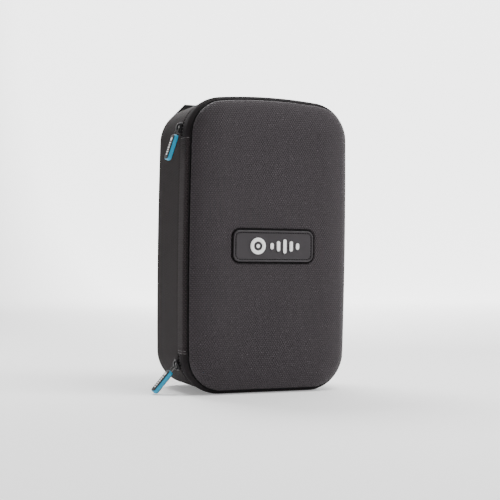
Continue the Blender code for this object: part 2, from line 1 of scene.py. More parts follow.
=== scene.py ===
"""Looks of the upright zip case: moulded cloth shells, zip band, pulls, badge, handle and inside."""
import json
import math

import bmesh
import bpy
from mathutils import Matrix, Vector


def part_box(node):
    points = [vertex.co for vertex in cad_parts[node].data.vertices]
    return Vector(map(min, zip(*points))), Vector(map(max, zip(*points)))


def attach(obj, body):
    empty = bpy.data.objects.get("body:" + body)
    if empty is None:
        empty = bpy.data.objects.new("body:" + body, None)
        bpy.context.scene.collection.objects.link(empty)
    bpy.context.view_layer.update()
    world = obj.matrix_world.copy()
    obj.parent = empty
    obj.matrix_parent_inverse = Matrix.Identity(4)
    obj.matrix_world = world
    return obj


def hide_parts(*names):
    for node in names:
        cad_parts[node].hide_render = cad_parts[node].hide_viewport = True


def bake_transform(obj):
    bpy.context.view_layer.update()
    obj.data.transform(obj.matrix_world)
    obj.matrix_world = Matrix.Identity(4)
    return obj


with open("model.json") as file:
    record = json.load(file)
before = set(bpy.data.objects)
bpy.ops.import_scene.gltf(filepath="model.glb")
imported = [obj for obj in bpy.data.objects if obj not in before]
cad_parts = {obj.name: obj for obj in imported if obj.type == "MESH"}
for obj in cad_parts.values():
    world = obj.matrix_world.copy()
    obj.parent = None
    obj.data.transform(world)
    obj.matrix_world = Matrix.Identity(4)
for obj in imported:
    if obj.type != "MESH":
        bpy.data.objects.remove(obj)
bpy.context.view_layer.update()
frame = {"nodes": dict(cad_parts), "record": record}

MM = 0.001

# ---------------------------------------------------------------- sizes read from the frame
band_low, band_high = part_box("lid_zip_tape")
shell_low, shell_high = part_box("back_shell")
lid_low, lid_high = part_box("lid_shell")
badge_low, badge_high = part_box("badge_plate")
handle_low, handle_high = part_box("carry_handle")
net_low, net_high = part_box("pocket_net")
JOINTS = {item["name"]: item for item in frame["record"]["behaviour"]["joints"]}
HINGE = Vector(JOINTS["lid_hinge"]["pos_m"])
UPPER_CENTRE = Vector(JOINTS["upper_slider_travel"]["pos_m"])
LOWER_CENTRE = Vector(JOINTS["lower_slider_travel"]["pos_m"])
UPPER_PIVOT = Vector(JOINTS["upper_pull_swing"]["pos_m"])
LOWER_PIVOT = Vector(JOINTS["lower_pull_swing"]["pos_m"])

WIDTH = 2.0 * band_high[0]
HEIGHT = band_high[2]
CORNER = LOWER_CENTRE.z
SIDE_CROWN = WIDTH / 2.0 - CORNER + LOWER_CENTRE.x
TOP_CROWN = HEIGHT - CORNER - UPPER_CENTRE.z
LIP_DEPTH = -band_low[1]
LIP_INSET = WIDTH / 2.0 - lid_high[0]
LID_DEPTH = -lid_low[1]
LID_RIM = -lid_high[1]
ZIP_DEPTH = HINGE.y
ZIP_INSET = WIDTH / 2.0 - shell_high[0]
BACK_DEPTH = shell_high[1]
BACK_RIM = shell_low[1]
HEM_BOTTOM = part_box("hinge_gusset")[0][2]
HEM_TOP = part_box("gusset_top_end")[1][2]

# ---------------------------------------------------------------- sizes of the finer forms
SHELL = 2.4 * MM
BACK_ROUND = 15.8 * MM
BACK_TAPER = 0.6 * MM
TOP_FALL = 3.4 * MM
LID_ROUND_IN = 24.0 * MM
TAPE = 1.6 * MM
LIP_EASE = 0.7 * MM
CLOTH_RATES = ((450.0, 290.0), (450.0, -290.0), (0.0, 580.0))
TOOTH_PITCH = 1.35 * MM
BADGE_CORNER = 6.0 * MM
HEM_WIDTH = 5.0 * MM
HEM_RISE = 0.35 * MM
DOME_REACH = 1.15
SIDE_STEPS = 12
CORNER_STEPS = 20
UPPER_LIE = 18.0
LOWER_LIE = 41.0
TAB_LENGTH = 23.0 * MM
TAB_WIDTH = 8.5 * MM
TAB_CORE = 2.4 * MM
TAB_FACE = 1.0 * MM
BAIL_LENGTH = 5.8 * MM
BAIL_WIRE = 1.2 * MM
BAIL_WIDTH = 5.8 * MM
SLIDER_LENGTH = 10.0 * MM
SLIDER_WIDTH = 8.4 * MM
SLIDER_THICK = 1.7 * MM
WEBBING = 2.5 * MM
WEBBING_WIDTH = 25.0 * MM
MITRE = 15.0 * MM

# ---------------------------------------------------------------- camera and light
CAMERA_PLACE = Vector((-0.46711, -0.98295, 0.13255))
CAMERA_YAW = 24.703
CAMERA_PITCH = 0.388
CAMERA_ROLL = 0.842
CAMERA_LENS = 88.58
FLOOR_GLOW = 0.25
BACKDROP_GLOW = 3.0
WORLD_GLOW = 0.20
LIGHT_TARGET = Vector((0.0, 0.0, 0.13))
LIGHTS = (("key", (1.25, -0.75, 0.95), 0.6, 14.0), ("top", (0.25, -0.30, 1.25), 0.5, 12.5),
          ("rim", (-0.15, 0.70, 1.25), 0.5, 18.0), ("side", (1.4, 0.1, 0.35), 0.7, 3.0))
SENSOR_WIDTH = 36.0


# ================================================================ node helpers
class Finish:
    """A Principled material that is built up with procedural nodes."""

    def __init__(self, name, colour, roughness, metallic=0.0, sheen=0.0, specular=0.5):
        self.material = bpy.data.materials.new(name)
        self.material.use_nodes = True
        self.tree = self.material.node_tree
        self.shader = self.tree.nodes["Principled BSDF"]
        self.colour = colour
        self.roughness = roughness
        self.shader.inputs["Base Color"].default_value = (*colour, 1.0)
        self.shader.inputs["Roughness"].default_value = roughness
        self.shader.inputs["Metallic"].default_value = metallic
        self.shader.inputs["Specular IOR Level"].default_value = specular
        if sheen > 0.0:
            self.shader.inputs["Sheen Weight"].default_value = sheen
            self.shader.inputs["Sheen Roughness"].default_value = 0.5

    def node(self, kind, **settings):
        """Add a node and set its plain properties."""
        made = self.tree.nodes.new(kind)
        for key, value in settings.items():
            setattr(made, key, value)
        return made

    def link(self, source, target):
        """Join an output to an input."""
        self.tree.links.new(source, target)

    def feed(self, socket, value):
        """Link a socket, or set its value."""
        if isinstance(value, (int, float)):
            socket.default_value = value
        else:
            self.link(value, socket)

    def maths(self, operation, first, second=0.0):
        """One arithmetic step."""
        made = self.node("ShaderNodeMath", operation=operation)
        self.feed(made.inputs[0], first)
        self.feed(made.inputs[1], second)
        return made.outputs[0]

    def spread(self, value, low, high, out_low, out_high):
        """Map a range onto another, clamped."""
        made = self.node("ShaderNodeMapRange")
        self.feed(made.inputs["Value"], value)
        made.inputs["From Min"].default_value = low
        made.inputs["From Max"].default_value = high
        made.inputs["To Min"].default_value = out_low
        made.inputs["To Max"].default_value = out_high
        return made.outputs["Result"]

    def place(self, kind):
        """Coordinates: Object or UV."""
        return self.node("ShaderNodeTexCoord").outputs[kind]

    def noise(self, coordinates, scale, detail=3.0, roughness=0.55):
        """Smooth noise between 0 and 1."""
        made = self.node("ShaderNodeTexNoise")
        self.link(coordinates, made.inputs["Vector"])
        made.inputs["Scale"].default_value = scale
        made.inputs["Detail"].default_value = detail
        made.inputs["Roughness"].default_value = roughness
        return made.outputs["Fac"]

    def tint(self, factor, dark, light):
        """Base colour between two shades of the finish's own colour."""
        made = self.node("ShaderNodeMix", data_type="RGBA")
        self.feed(made.inputs[0], factor)
        made.inputs[6].default_value = (*[c * dark for c in self.colour], 1.0)
        made.inputs[7].default_value = (*[min(1.0, c * light) for c in self.colour], 1.0)
        self.link(made.outputs[2], self.shader.inputs["Base Color"])
        return made.outputs[2]

    def bump(self, height, distance, strength=1.0, under=None):
        """Bump the surface by a height, over another bump if one is given."""
        made = self.node("ShaderNodeBump")
        made.inputs["Strength"].default_value = strength
        made.inputs["Distance"].default_value = distance
        self.feed(made.inputs["Height"], height)
        if under is not None:
            self.link(under, made.inputs["Normal"])
        return made.outputs["Normal"]

    def finish(self, normal=None, roughness=None):
        """Close the material with its bump and its varied roughness."""
        if normal is not None:
            self.link(normal, self.shader.inputs["Normal"])
        if roughness is not None:
            self.link(roughness, self.shader.inputs["Roughness"])
        return self.material


def lattice(build, coordinates, rates):
    """Height of small domes where waves of the given rates, in turns per metre, meet."""
    parts = build.node("ShaderNodeSeparateXYZ")
    build.link(coordinates, parts.inputs[0])
    total = 0.0
    for across, along in rates:
        turn = build.maths("ADD", build.maths("MULTIPLY", parts.outputs[0], 2.0 * math.pi * across),
                           build.maths("MULTIPLY", parts.outputs[1], 2.0 * math.pi * along))
        total = build.maths("ADD", build.maths("COSINE", turn), total)
    return build.spread(total, -1.5, 2.4, 0.0, 1.0)


def shell_cloth(name, colour, scale=1.0, depth=0.36 * MM, roughness=0.60, specular=0.18):
    """Moulded ballistic cloth with an embossed diagonal dimple, laid out in metres on the UV map."""
    build = Finish(name, colour, roughness, specular=specular)
    uv = build.place("UV")
    place = build.place("Object")
    dimple = lattice(build, uv, [(across * scale, along * scale) for across, along in CLOTH_RATES])
    fibre = build.noise(uv, 2600.0, 2.0)
    broad = build.noise(place, 20.0, 2.0)
    # The dimple's domes are painted lighter and its hollows darker, as painted shade of the bumps; the broad
    # noise adds random tone.
    shade = build.maths("ADD", build.maths("MULTIPLY", dimple, 0.75), build.maths("MULTIPLY", broad, 0.25))
    build.tint(shade, 0.58, 1.62)
    fine = build.bump(fibre, 0.015 * MM, 0.5)
    normal = build.bump(dimple, depth, 1.0, under=fine)
    return build.finish(normal, build.spread(shade, 0.2, 0.8, roughness - 0.08, roughness + 0.12))


def woven(name, colour, pitch, ratio, depth, roughness=0.85, sheen=0.0):
    """Plain weave: threads that cross over and under, laid out in metres on the UV map."""
    build = Finish(name, colour, roughness, sheen=sheen, specular=0.15)
    uv = build.place("UV")
    place = build.place("Object")
    parts = build.node("ShaderNodeSeparateXYZ")
    build.link(uv, parts.inputs[0])
    first = build.maths("SINE", build.maths("MULTIPLY", parts.outputs[0], 2.0 * math.pi / pitch))
    second = build.maths("SINE", build.maths("MULTIPLY", parts.outputs[1], 2.0 * math.pi / (pitch * ratio)))
    cross = build.maths("ADD", build.maths("MULTIPLY", build.maths("MULTIPLY", first, second), 0.5), 0.5)
    fibre = build.noise(uv, 3000.0, 2.0)
    broad = build.noise(place, 40.0, 3.0)
    shade = build.maths("ADD", build.maths("MULTIPLY", cross, 0.5), build.maths("MULTIPLY", broad, 0.5))
    build.tint(shade, 0.70, 1.30)
    fine = build.bump(fibre, 0.03 * MM, 0.5)
    return build.finish(build.bump(cross, depth, 0.9, under=fine), build.spread(fibre, 0.3, 0.7, 0.75, 0.95))


def grained(name, colour, roughness, scale, depth, metallic=0.0, dark=0.85, light=1.15, specular=0.5):
    """Smooth moulded, cast or foamed stuff with a fine grain and slow changes of tone."""
    build = Finish(name, colour, roughness, metallic, specular=specular)
    place = build.place("Object")
    grain = build.noise(place, scale, 4.0)
    broad = build.noise(place, 60.0, 3.0)
    build.tint(broad, dark, light)
    rough = build.spread(grain, 0.3, 0.7, roughness * 0.85, min(1.0, roughness * 1.15))
    return build.finish(build.bump(grain, depth, 0.6), rough)


def make_finishes():
    """Every material of the case."""
    return {
        "lid": shell_cloth("lid_cloth", (0.037, 0.0312, 0.0346)),
        # The back and the gusset are copies of the lid's cloth: the back is painted darker as painted shade
        # on the case's sides, and the gusset is painted lighter than the back as painted light where the
        # lid's dome shades it.
        "back": shell_cloth("back_cloth_painted_shade", (0.0210, 0.0170, 0.0176), depth=0.30 * MM, roughness=0.74,
                            specular=0.10),
        "gusset": shell_cloth("gusset_cloth_painted_light", (0.0300, 0.0250, 0.0262), scale=1.1, roughness=0.74,
                              specular=0.10),
        "tape": woven("zip_cloth", (0.0150, 0.0125, 0.0135), 0.7 * MM, 0.6, 0.05 * MM),
        # The piping's black is its own colour, darkened further as painted shade of the grooves it lies in.
        "piping": woven("piping_and_groove_shade_cloth", (0.0035, 0.0032, 0.0035), 0.5 * MM, 1.0, 0.05 * MM),
        "webbing": woven("webbing_cloth", (0.022, 0.0205, 0.0215), 1.9 * MM, 0.55, 0.22 * MM),
        "lining": woven("lining_cloth", (0.050, 0.049, 0.051), 0.5 * MM, 1.0, 0.03 * MM, 0.95, 0.4),
        "net": woven("net_cloth", (0.018, 0.018, 0.019), 2.2 * MM, 1.2, 0.35 * MM, 0.80, 0.2),
        "foam": grained("closed_foam", (0.032, 0.032, 0.034), 0.93, 900.0, 0.15 * MM, specular=0.2),
        "rubber": grained("badge_rubber", (0.030, 0.0255, 0.0290), 0.48, 1500.0, 0.02 * MM, specular=0.45),
        "tab_face": grained("tab_rubber", (0.008, 0.0075, 0.008), 0.50, 1500.0, 0.02 * MM),
        "mark": grained("white_print", (0.95, 0.95, 0.94), 0.42, 1200.0, 0.01 * MM, dark=0.97, light=1.0),
        "blue": grained("blue_rubber", (0.004, 0.300, 0.500), 0.42, 1400.0, 0.02 * MM, dark=0.92, light=1.08),
        "metal": grained("black_zip_metal", (0.030, 0.030, 0.031), 0.36, 1800.0, 0.02 * MM, metallic=0.9),
        "wire": grained("bright_wire", (0.200, 0.197, 0.194), 0.30, 1800.0, 0.01 * MM, metallic=1.0),
        "coil": grained("coil_nylon", (0.010, 0.010, 0.011), 0.42, 1500.0, 0.02 * MM),
        "thread": grained("dark_thread", (0.006, 0.0055, 0.006), 0.80, 2500.0, 0.03 * MM, specular=0.15),
        # Pale thread of the real hem stitches, made pale as painted highlight of the hems' edges.
        "hem_thread_painted_highlight": grained("grey_thread_painted_highlight", (0.160, 0.150, 0.154), 0.75, 2500.0, 0.03 * MM),
    }


# ================================================================ shape helpers
def rounded_outline(width, height, corner, crowns, centre):
    """(core point, outward normal) pairs round a rectangle with arc corners and bowed sides."""
    right, top, left, bottom = crowns
    x_right = width / 2.0 - corner - right
    x_left = -(width / 2.0 - corner - left)
    z_top = height / 2.0 - corner - top
    z_bottom = -(height / 2.0 - corner - bottom)
    corners = [Vector((x_right, z_bottom)), Vector((x_right, z_top)), Vector((x_left, z_top)),
               Vector((x_left, z_bottom))]
    sides = []
    for index, crown in enumerate(crowns):
        sides.append(bowed_side(corners[index], corners[(index + 1) % 4], crown))
    samples = []
    for index, side in enumerate(sides):
        samples.extend(side)
        first = side[-1][1]
        turn = first.angle_signed(sides[(index + 1) % 4][0][1])
        for step in range(1, CORNER_STEPS):
            normal = first.copy()
            normal.rotate(Matrix.Rotation(-turn * step / CORNER_STEPS, 2))
            samples.append((side[-1][0], normal))
    return [(point + centre, normal) for point, normal in samples]


def bowed_side(start, end, crown):
    """Points and normals from start to end, bowed out by crown."""
    chord = end - start
    half = chord.length / 2.0
    along = chord.normalized()
    outward = Vector((along.y, -along.x))
    middle = (start + end) / 2.0
    samples = []
    for step in range(SIDE_STEPS + 1):
        t = 2.0 * step / SIDE_STEPS - 1.0
        if crown <= 0.0:
            samples.append((middle + along * half * t, outward))
            continue
        radius = (half * half + crown * crown) / (2.0 * crown)
        turn = math.asin(half / radius) * t
        normal = outward * math.cos(turn) + along * math.sin(turn)
        samples.append((middle + outward * (crown - radius) + normal * radius, normal))
    return samples


CASE = rounded_outline(WIDTH, HEIGHT, CORNER, (SIDE_CROWN, TOP_CROWN, SIDE_CROWN, 0.0),
                       Vector((0.0, HEIGHT / 2.0)))


def ring_at(samples, corner, inset, depth):
    """One ring of an outline, moved in by inset, at a depth in Y; behind the zip the top edge drops."""
    fall = TOP_FALL * max(0.0, depth - ZIP_DEPTH) / (BACK_DEPTH - ZIP_DEPTH)
    ring = []
    for point, normal in samples:
        moved = point + normal * (corner - inset)
        drop_by = fall if point.y > UPPER_CENTRE.z - 0.1 * MM else 0.0
        ring.append(Vector((moved.x, depth, moved.y - drop_by)))
    return ring


def between(first, second, share):
    """A ring part way between two rings."""
    return [a.lerp(b, share) for a, b in zip(first, second)]


def at_depth(ring, depth):
    """A ring moved to a depth."""
    return [Vector((p.x, depth, p.z)) for p in ring]


def arc_lengths(ring):
    """Running length round a ring, with the whole length at the end."""
    lengths = [0.0]
    for index in range(len(ring)):
        lengths.append(lengths[-1] + (ring[(index + 1) % len(ring)] - ring[index]).length)
    return lengths


def linked(name, data):
    """A new object in the scene that holds the data."""
    made = bpy.data.objects.new(name, data)
    bpy.context.scene.collection.objects.link(made)
    return made


def mesh_object(name, bm, finish, angle=40.0):
    """A smooth shaded object from a bmesh."""
    bmesh.ops.recalc_face_normals(bm, faces=bm.faces)
    mesh = bpy.data.meshes.new(name)
    bm.to_mesh(mesh)
    bm.free()
    mesh.materials.append(finish)
    mesh.shade_smooth()
    mesh.set_sharp_from_angle(angle=math.radians(angle))
    return linked(name, mesh)


def uv_from_xz(face, layer):
    """Give a face its UV in metres from X and Z."""
    for loop in face.loops:
        loop[layer].uv = (loop.vert.co.x, loop.vert.co.z)


def tube_faces(bm, rows, layer=None):
    """Join each ring of points to the next one."""
    for near, far in zip(rows, rows[1:]):
        for index in range(len(near)):
            following = (index + 1) % len(near)
            face = bm.faces.new((near[index], near[following], far[following], far[index]))
            if layer is not None:
                uv_from_xz(face, layer)


def skin(name, rings, finish, closed=False, flat_uv=(), angle=40.0):
    """A surface through rings of points, with a UV map in metres.

    Rings whose index is in flat_uv, and both ends, take their UV from X and Z.
    """
    bm = bmesh.new()
    uv_layer = bm.loops.layers.uv.new("cloth")
    rows = [[bm.verts.new(point) for point in ring] for ring in rings]
    around = arc_lengths(max(rings, key=lambda ring: arc_lengths(ring)[-1]))
    across = [0.0]
    for near, far in zip(rings, rings[1:]):
        across.append(across[-1] + (far[0] - near[0]).length)
    steps = [(index, index + 1) for index in range(len(rings) - 1)]
    if closed:
        steps.append((len(rings) - 1, 0))
        across.append(across[-1] + (rings[0][0] - rings[-1][0]).length)
    count = len(rings[0])
    for near, far in steps:
        flat = near in flat_uv and far in flat_uv
        far_across = across[near + 1]
        for index in range(count):
            following = (index + 1) % count
            low, high = rows[near], rows[far]
            face = bm.faces.new((low[index], low[following], high[following], high[index]))
            if flat:
                uv_from_xz(face, uv_layer)
                continue
            spots = ((around[index], across[near]), (around[index + 1], across[near]),
                     (around[index + 1], far_across), (around[index], far_across))
            for loop, spot in zip(face.loops, spots):
                loop[uv_layer].uv = spot
    if not closed:
        for row in (rows[0], rows[-1]):
            uv_from_xz(bm.faces.new(row), uv_layer)
    return mesh_object(name, bm, finish, angle)


def box_uv(made):
    """Give a mesh a UV map in metres, projected along each face's main direction."""
    mesh = made.data
    layer = mesh.uv_layers.new(name="cloth") if not mesh.uv_layers else mesh.uv_layers[0]
    for polygon in mesh.polygons:
        normal = polygon.normal
        axis = max(range(3), key=lambda k: abs(normal[k]))
        first, second = ((1, 2), (0, 2), (0, 1))[axis]
        for loop_index in polygon.loop_indices:
            spot = mesh.vertices[mesh.loops[loop_index].vertex_index].co
            layer.data[loop_index].uv = (spot[first], spot[second])
    return made


def grow(bm, outline, start, thickness):
    """Add an outline in X and Z, extruded along Y from start."""
    face = bm.faces.new([bm.verts.new((x, start, z)) for x, z in outline])
    grown = bmesh.ops.extrude_face_region(bm, geom=[face])
    moved = [item for item in grown["geom"] if isinstance(item, bmesh.types.BMVert)]
    bmesh.ops.translate(bm, vec=(0.0, thickness, 0.0), verts=moved)


def extruded(name, outline, thickness, finish, bevel, segments=3):
    """A flat outline in X and Z, given thickness about Y = 0, with rounded edges."""
    bm = bmesh.new()
    grow(bm, outline, -thickness / 2.0, thickness)
    edges = [edge for edge in bm.edges if abs(edge.verts[0].co.y - edge.verts[1].co.y) < 1e-7]
    bmesh.ops.bevel(bm, geom=edges, offset=bevel, segments=segments, profile=0.5, affect="EDGES")
    return mesh_object(name, bm, finish)


def pill(width, height, radius, steps=8, centre=(0.0, 0.0)):
    """Outline of a rounded rectangle in X and Z."""
    points = []
    for turn, sign_x, sign_z in ((0, 1, 1), (90, -1, 1), (180, -1, -1), (270, 1, -1)):
        for step in range(steps + 1):
            angle = math.radians(turn + 90.0 * step / steps)
            points.append((centre[0] + sign_x * (width / 2.0 - radius) + radius * math.cos(angle),
                           centre[1] + sign_z * (height / 2.0 - radius) + radius * math.sin(angle)))
    return points


def boolean(target, cutter, operation):
    """Apply a boolean to the target; the cutter stays."""
    modifier = target.modifiers.new("cut", "BOOLEAN")
    modifier.operation = operation
    modifier.solver = "EXACT"
    modifier.object = cutter
    bpy.context.view_layer.update()
    graph = bpy.context.evaluated_depsgraph_get()
    result = bpy.data.meshes.new_from_object(target.evaluated_get(graph))
    target.modifiers.remove(modifier)
    target.data = result
    return target


def drop(*objects):
    """Remove helper objects."""
    for item in objects:
        bpy.data.objects.remove(item, do_unlink=True)


def hinge_cylinder(radius, low, high):
    """An upright cylinder on the hinge axis."""
    bm = bmesh.new()
    bmesh.ops.create_cone(bm, cap_ends=True, segments=96, radius1=radius, radius2=radius, depth=high - low)
    bmesh.ops.translate(bm, vec=(HINGE.x, HINGE.y, (low + high) / 2.0), verts=bm.verts)
    mesh = bpy.data.meshes.new("cylinder")
    bm.to_mesh(mesh)
    bm.free()
    return linked("cylinder", mesh)


def wire(name, points, radius, finish, cyclic=False, resolution=6):
    """A round wire through points, as a mesh."""
    curve = bpy.data.curves.new(name, "CURVE")
    curve.dimensions = "3D"
    curve.bevel_depth = radius
    curve.bevel_resolution = resolution
    curve.use_fill_caps = not cyclic
    spline = curve.splines.new("POLY")
    spline.points.add(len(points) - 1)
    spline.use_cyclic_u = cyclic
    for spot, point in zip(spline.points, points):
        spot.co = (*point, 1.0)
    rough = linked(name + "_curve", curve)
    bpy.context.view_layer.update()
    graph = bpy.context.evaluated_depsgraph_get()
    mesh = bpy.data.meshes.new_from_object(rough.evaluated_get(graph))
    drop(rough)
    bm = bmesh.new()
    bm.from_mesh(mesh)
    bmesh.ops.remove_doubles(bm, verts=bm.verts, dist=0.000005)
    return mesh_object(name, bm, finish)


def stitch_row(name, path, length, gap, radius, finish, cyclic=False):
    """Thread stitches along a path of points, joined in one object."""
    points = [Vector(p) for p in path]
    if cyclic:
        points.append(points[0])
    runs = [0.0]
    for near, far in zip(points, points[1:]):
        runs.append(runs[-1] + (far - near).length)
    total = runs[-1]
    count = max(1, int(total / (length + gap)))
    pitch = total / count

    def spot(distance):
        index = 0
        while index < len(runs) - 2 and runs[index + 1] < distance:
            index += 1
        share = (distance - runs[index]) / max(1e-9, runs[index + 1] - runs[index])
        return points[index].lerp(points[index + 1], share)

    bm = bmesh.new()
    for index in range(count):
        start = spot(index * pitch + gap / 2.0)
        end = spot((index + 1) * pitch - gap / 2.0)
        along = end - start
        made = bmesh.ops.create_uvsphere(bm, u_segments=8, v_segments=6, radius=1.0)
        turn = along.to_track_quat("Z", "Y").to_matrix().to_4x4()
        size = Matrix.Diagonal((radius, radius, along.length / 2.0, 1.0))
        matrix = Matrix.Translation((start + end) / 2.0) @ turn @ size
        bmesh.ops.transform(bm, matrix=matrix, verts=made["verts"])
    return mesh_object(name, bm, finish, 80.0)


def hide_behind(piece, slot, *nodes):
    """The piece stands for CAD nodes, which are hidden; slot is not used."""
    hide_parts(*nodes)
    return piece


def settle(piece, body, slot, *nodes):
    """The piece rides a body and stands for any CAD nodes named, which are hidden; slot is not used."""
    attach(piece, body)
    if nodes:
        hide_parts(*nodes)


# ================================================================ the lid
def lid_profile(share):
    """Depth of the lid's dome, 0 at the lip and 1 at the flat face: a tight edge and a long crown."""
    near = min(1.0, share / 0.30)
    edge = math.sqrt(1.0 - (1.0 - near) ** 2)
    crown = 1.0 - (1.0 - share) ** 2.2
    return 0.36 * edge + 0.64 * crown


def make_lid(finishes):
    """The domed lid with its groove round the badge."""
    rings = []
    inner_steps = 8
    reach = LID_ROUND_IN
    dome = LID_DEPTH - LID_RIM
    wall_face = -LID_DEPTH + SHELL
    for step in range(inner_steps, -1, -1):
        angle = math.pi / 2.0 * step / inner_steps
        inset = LIP_INSET + SHELL + (reach - SHELL) * (1.0 - math.cos(angle))
        rings.append(ring_at(CASE, CORNER, inset, -LID_RIM - (dome - SHELL) * math.sin(angle)))
    rings[0] = at_depth(rings[0], wall_face)
    for step in range(5):
        angle = math.pi / 2.0 * step / 4.0
        inset = LIP_INSET + LIP_EASE * (1.0 - math.sin(angle))
        depth = -LID_RIM - LIP_EASE * (1.0 - math.cos(angle))
        rings.append(ring_at(CASE, CORNER, inset, depth))
    outer_start = len(rings) - 1
    dome_steps = 22
    for step in range(1, dome_steps + 1):
        share = (step / dome_steps) ** 1.5
        inset = LIP_INSET + reach * DOME_REACH * share
        depth = -LID_RIM - LIP_EASE - (dome - LIP_EASE) * lid_profile(share)
        rings.append(ring_at(CASE, CORNER, inset, depth))
    badge_width = badge_high[0] - badge_low[0]
    badge_height = badge_high[2] - badge_low[2]
    centre = Vector((0.0, (badge_low[2] + badge_high[2]) / 2.0))
    badge = rounded_outline(badge_width, badge_height, BADGE_CORNER, (0.0, 0.0, 0.0, 0.0), centre)
    edge = rings[-1]
    brink = ring_at(badge, BADGE_CORNER, -3.2 * MM, -LID_DEPTH)
    for share in (0.15, 0.32, 0.5, 0.7, 0.88, 1.0):
        rings.append(between(edge, brink, share))
    groove = ((-2.5, 0.12), (-1.9, 0.40), (-1.5, 0.95), (-1.3, 1.45), (-0.7, 1.60), (0.4, 1.60))
    for inset, down in groove:
        rings.append(ring_at(badge, BADGE_CORNER, inset * MM, -LID_DEPTH + down * MM))
    lid = skin("lid_moulding", rings, finishes["lid"], flat_uv=range(outer_start, len(rings)), angle=60.0)
    settle(lid, "lid", "shell", "lid_shell")
    return badge


def make_badge(badge, finishes):
    """Rubber badge: raised rim, stitched channel and field."""
    back = badge_high[1]
    face = badge_low[1]
    form = ((0.0, back), (0.0, face + 0.55 * MM), (0.12 * MM, face + 0.22 * MM),
            (0.38 * MM, face + 0.04 * MM), (0.75 * MM, face), (1.25 * MM, face + 0.02 * MM),
            (1.50 * MM, face + 0.18 * MM), (1.65 * MM, face + 0.75 * MM), (2.45 * MM, face + 0.75 * MM),
            (2.55 * MM, face + 0.26 * MM), (2.85 * MM, face + 0.20 * MM), (3.3 * MM, face + 0.20 * MM))
    rings = [ring_at(badge, BADGE_CORNER, 3.0 * MM, back)]
    for inset, depth in form:
        rings.append(ring_at(badge, BADGE_CORNER, inset, depth))
    plate = skin("badge_moulding", rings, finishes["rubber"], flat_uv=range(len(rings)), angle=50.0)
    settle(plate, "lid", "rubber", "badge_plate")
    # A near-black cord laid in the groove round the badge, as painted shade that stands for the groove's
    # shadow.
    cord = []
    for step in range(8):
        angle = 2.0 * math.pi * step / 8.0
        inset = (-0.65 + 0.6 * math.cos(angle)) * MM
        cord.append(ring_at(badge, BADGE_CORNER, inset, face + (1.35 + 0.5 * math.sin(angle)) * MM))
    groove_shade_cord = skin("badge_groove_shade_cord", cord, finishes["piping"], closed=True)
    settle(groove_shade_cord, "lid", "piping")
    path = ring_at(badge, BADGE_CORNER, 2.05 * MM, face + 0.55 * MM)
    row = stitch_row("badge_stitches", path, 1.7 * MM, 0.7 * MM, 0.26 * MM, finishes["thread"], cyclic=True)
    settle(row, "lid", "piping")


def make_marks(finishes):
    """White raised mark: a ring with a dot, and a row of rounded bars."""
    for name in ["badge_ring", "badge_dot"] + ["badge_bar_%d" % number for number in range(1, 6)]:
        low, high = (Vector(v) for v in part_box(name))
        size = high - low
        centre = (low + high) / 2.0
        if name == "badge_ring":
            bm = bmesh.new()
            steps = 64
            outer = size.x / 2.0
            inner = 4.0 * MM
            form = ((outer, high.y), (outer, low.y + 0.12 * MM), (outer - 0.15 * MM, low.y),
                    (inner + 0.15 * MM, low.y), (inner, low.y + 0.12 * MM), (inner, high.y))
            rows = []
            for radius, depth in form:
                ring = []
                for step in range(steps):
                    angle = 2.0 * math.pi * step / steps
                    ring.append(bm.verts.new((centre.x + radius * math.cos(angle), depth,
                                              centre.z + radius * math.sin(angle))))
                rows.append(ring)
            tube_faces(bm, rows + rows[:1])
            mark = mesh_object(name + "_mark", bm, finishes["mark"], 50.0)
        else:
            radius = min(size.x, size.z) * 0.49
            outline = pill(size.x, size.z, radius, 10)
            mark = extruded(name + "_mark", outline, size.y, finishes["mark"], 0.1 * MM, 2)
            mark.data.transform(Matrix.Translation(centre))
        settle(mark, "lid", "mark", name)


def make_piping(finishes):
    """Round piping in the groove between the lid's lip and the band, made thick and set out past the lip so
    that its black also stands as painted shade of the groove.
    """
    rings = []
    radius = 0.8 * MM
    middle = -(LID_RIM + LIP_DEPTH) / 2.0
    for step in range(12):
        angle = 2.0 * math.pi * step / 12.0
        inset = LIP_INSET - 0.25 * MM - radius * 1.15 * math.cos(angle)
        rings.append(ring_at(CASE, CORNER, inset, middle + radius * math.sin(angle)))
    piping = skin("lid_piping_and_groove_shade_cord", rings, finishes["piping"], closed=True)
    settle(piping, "lid", "piping", "lid_piping")


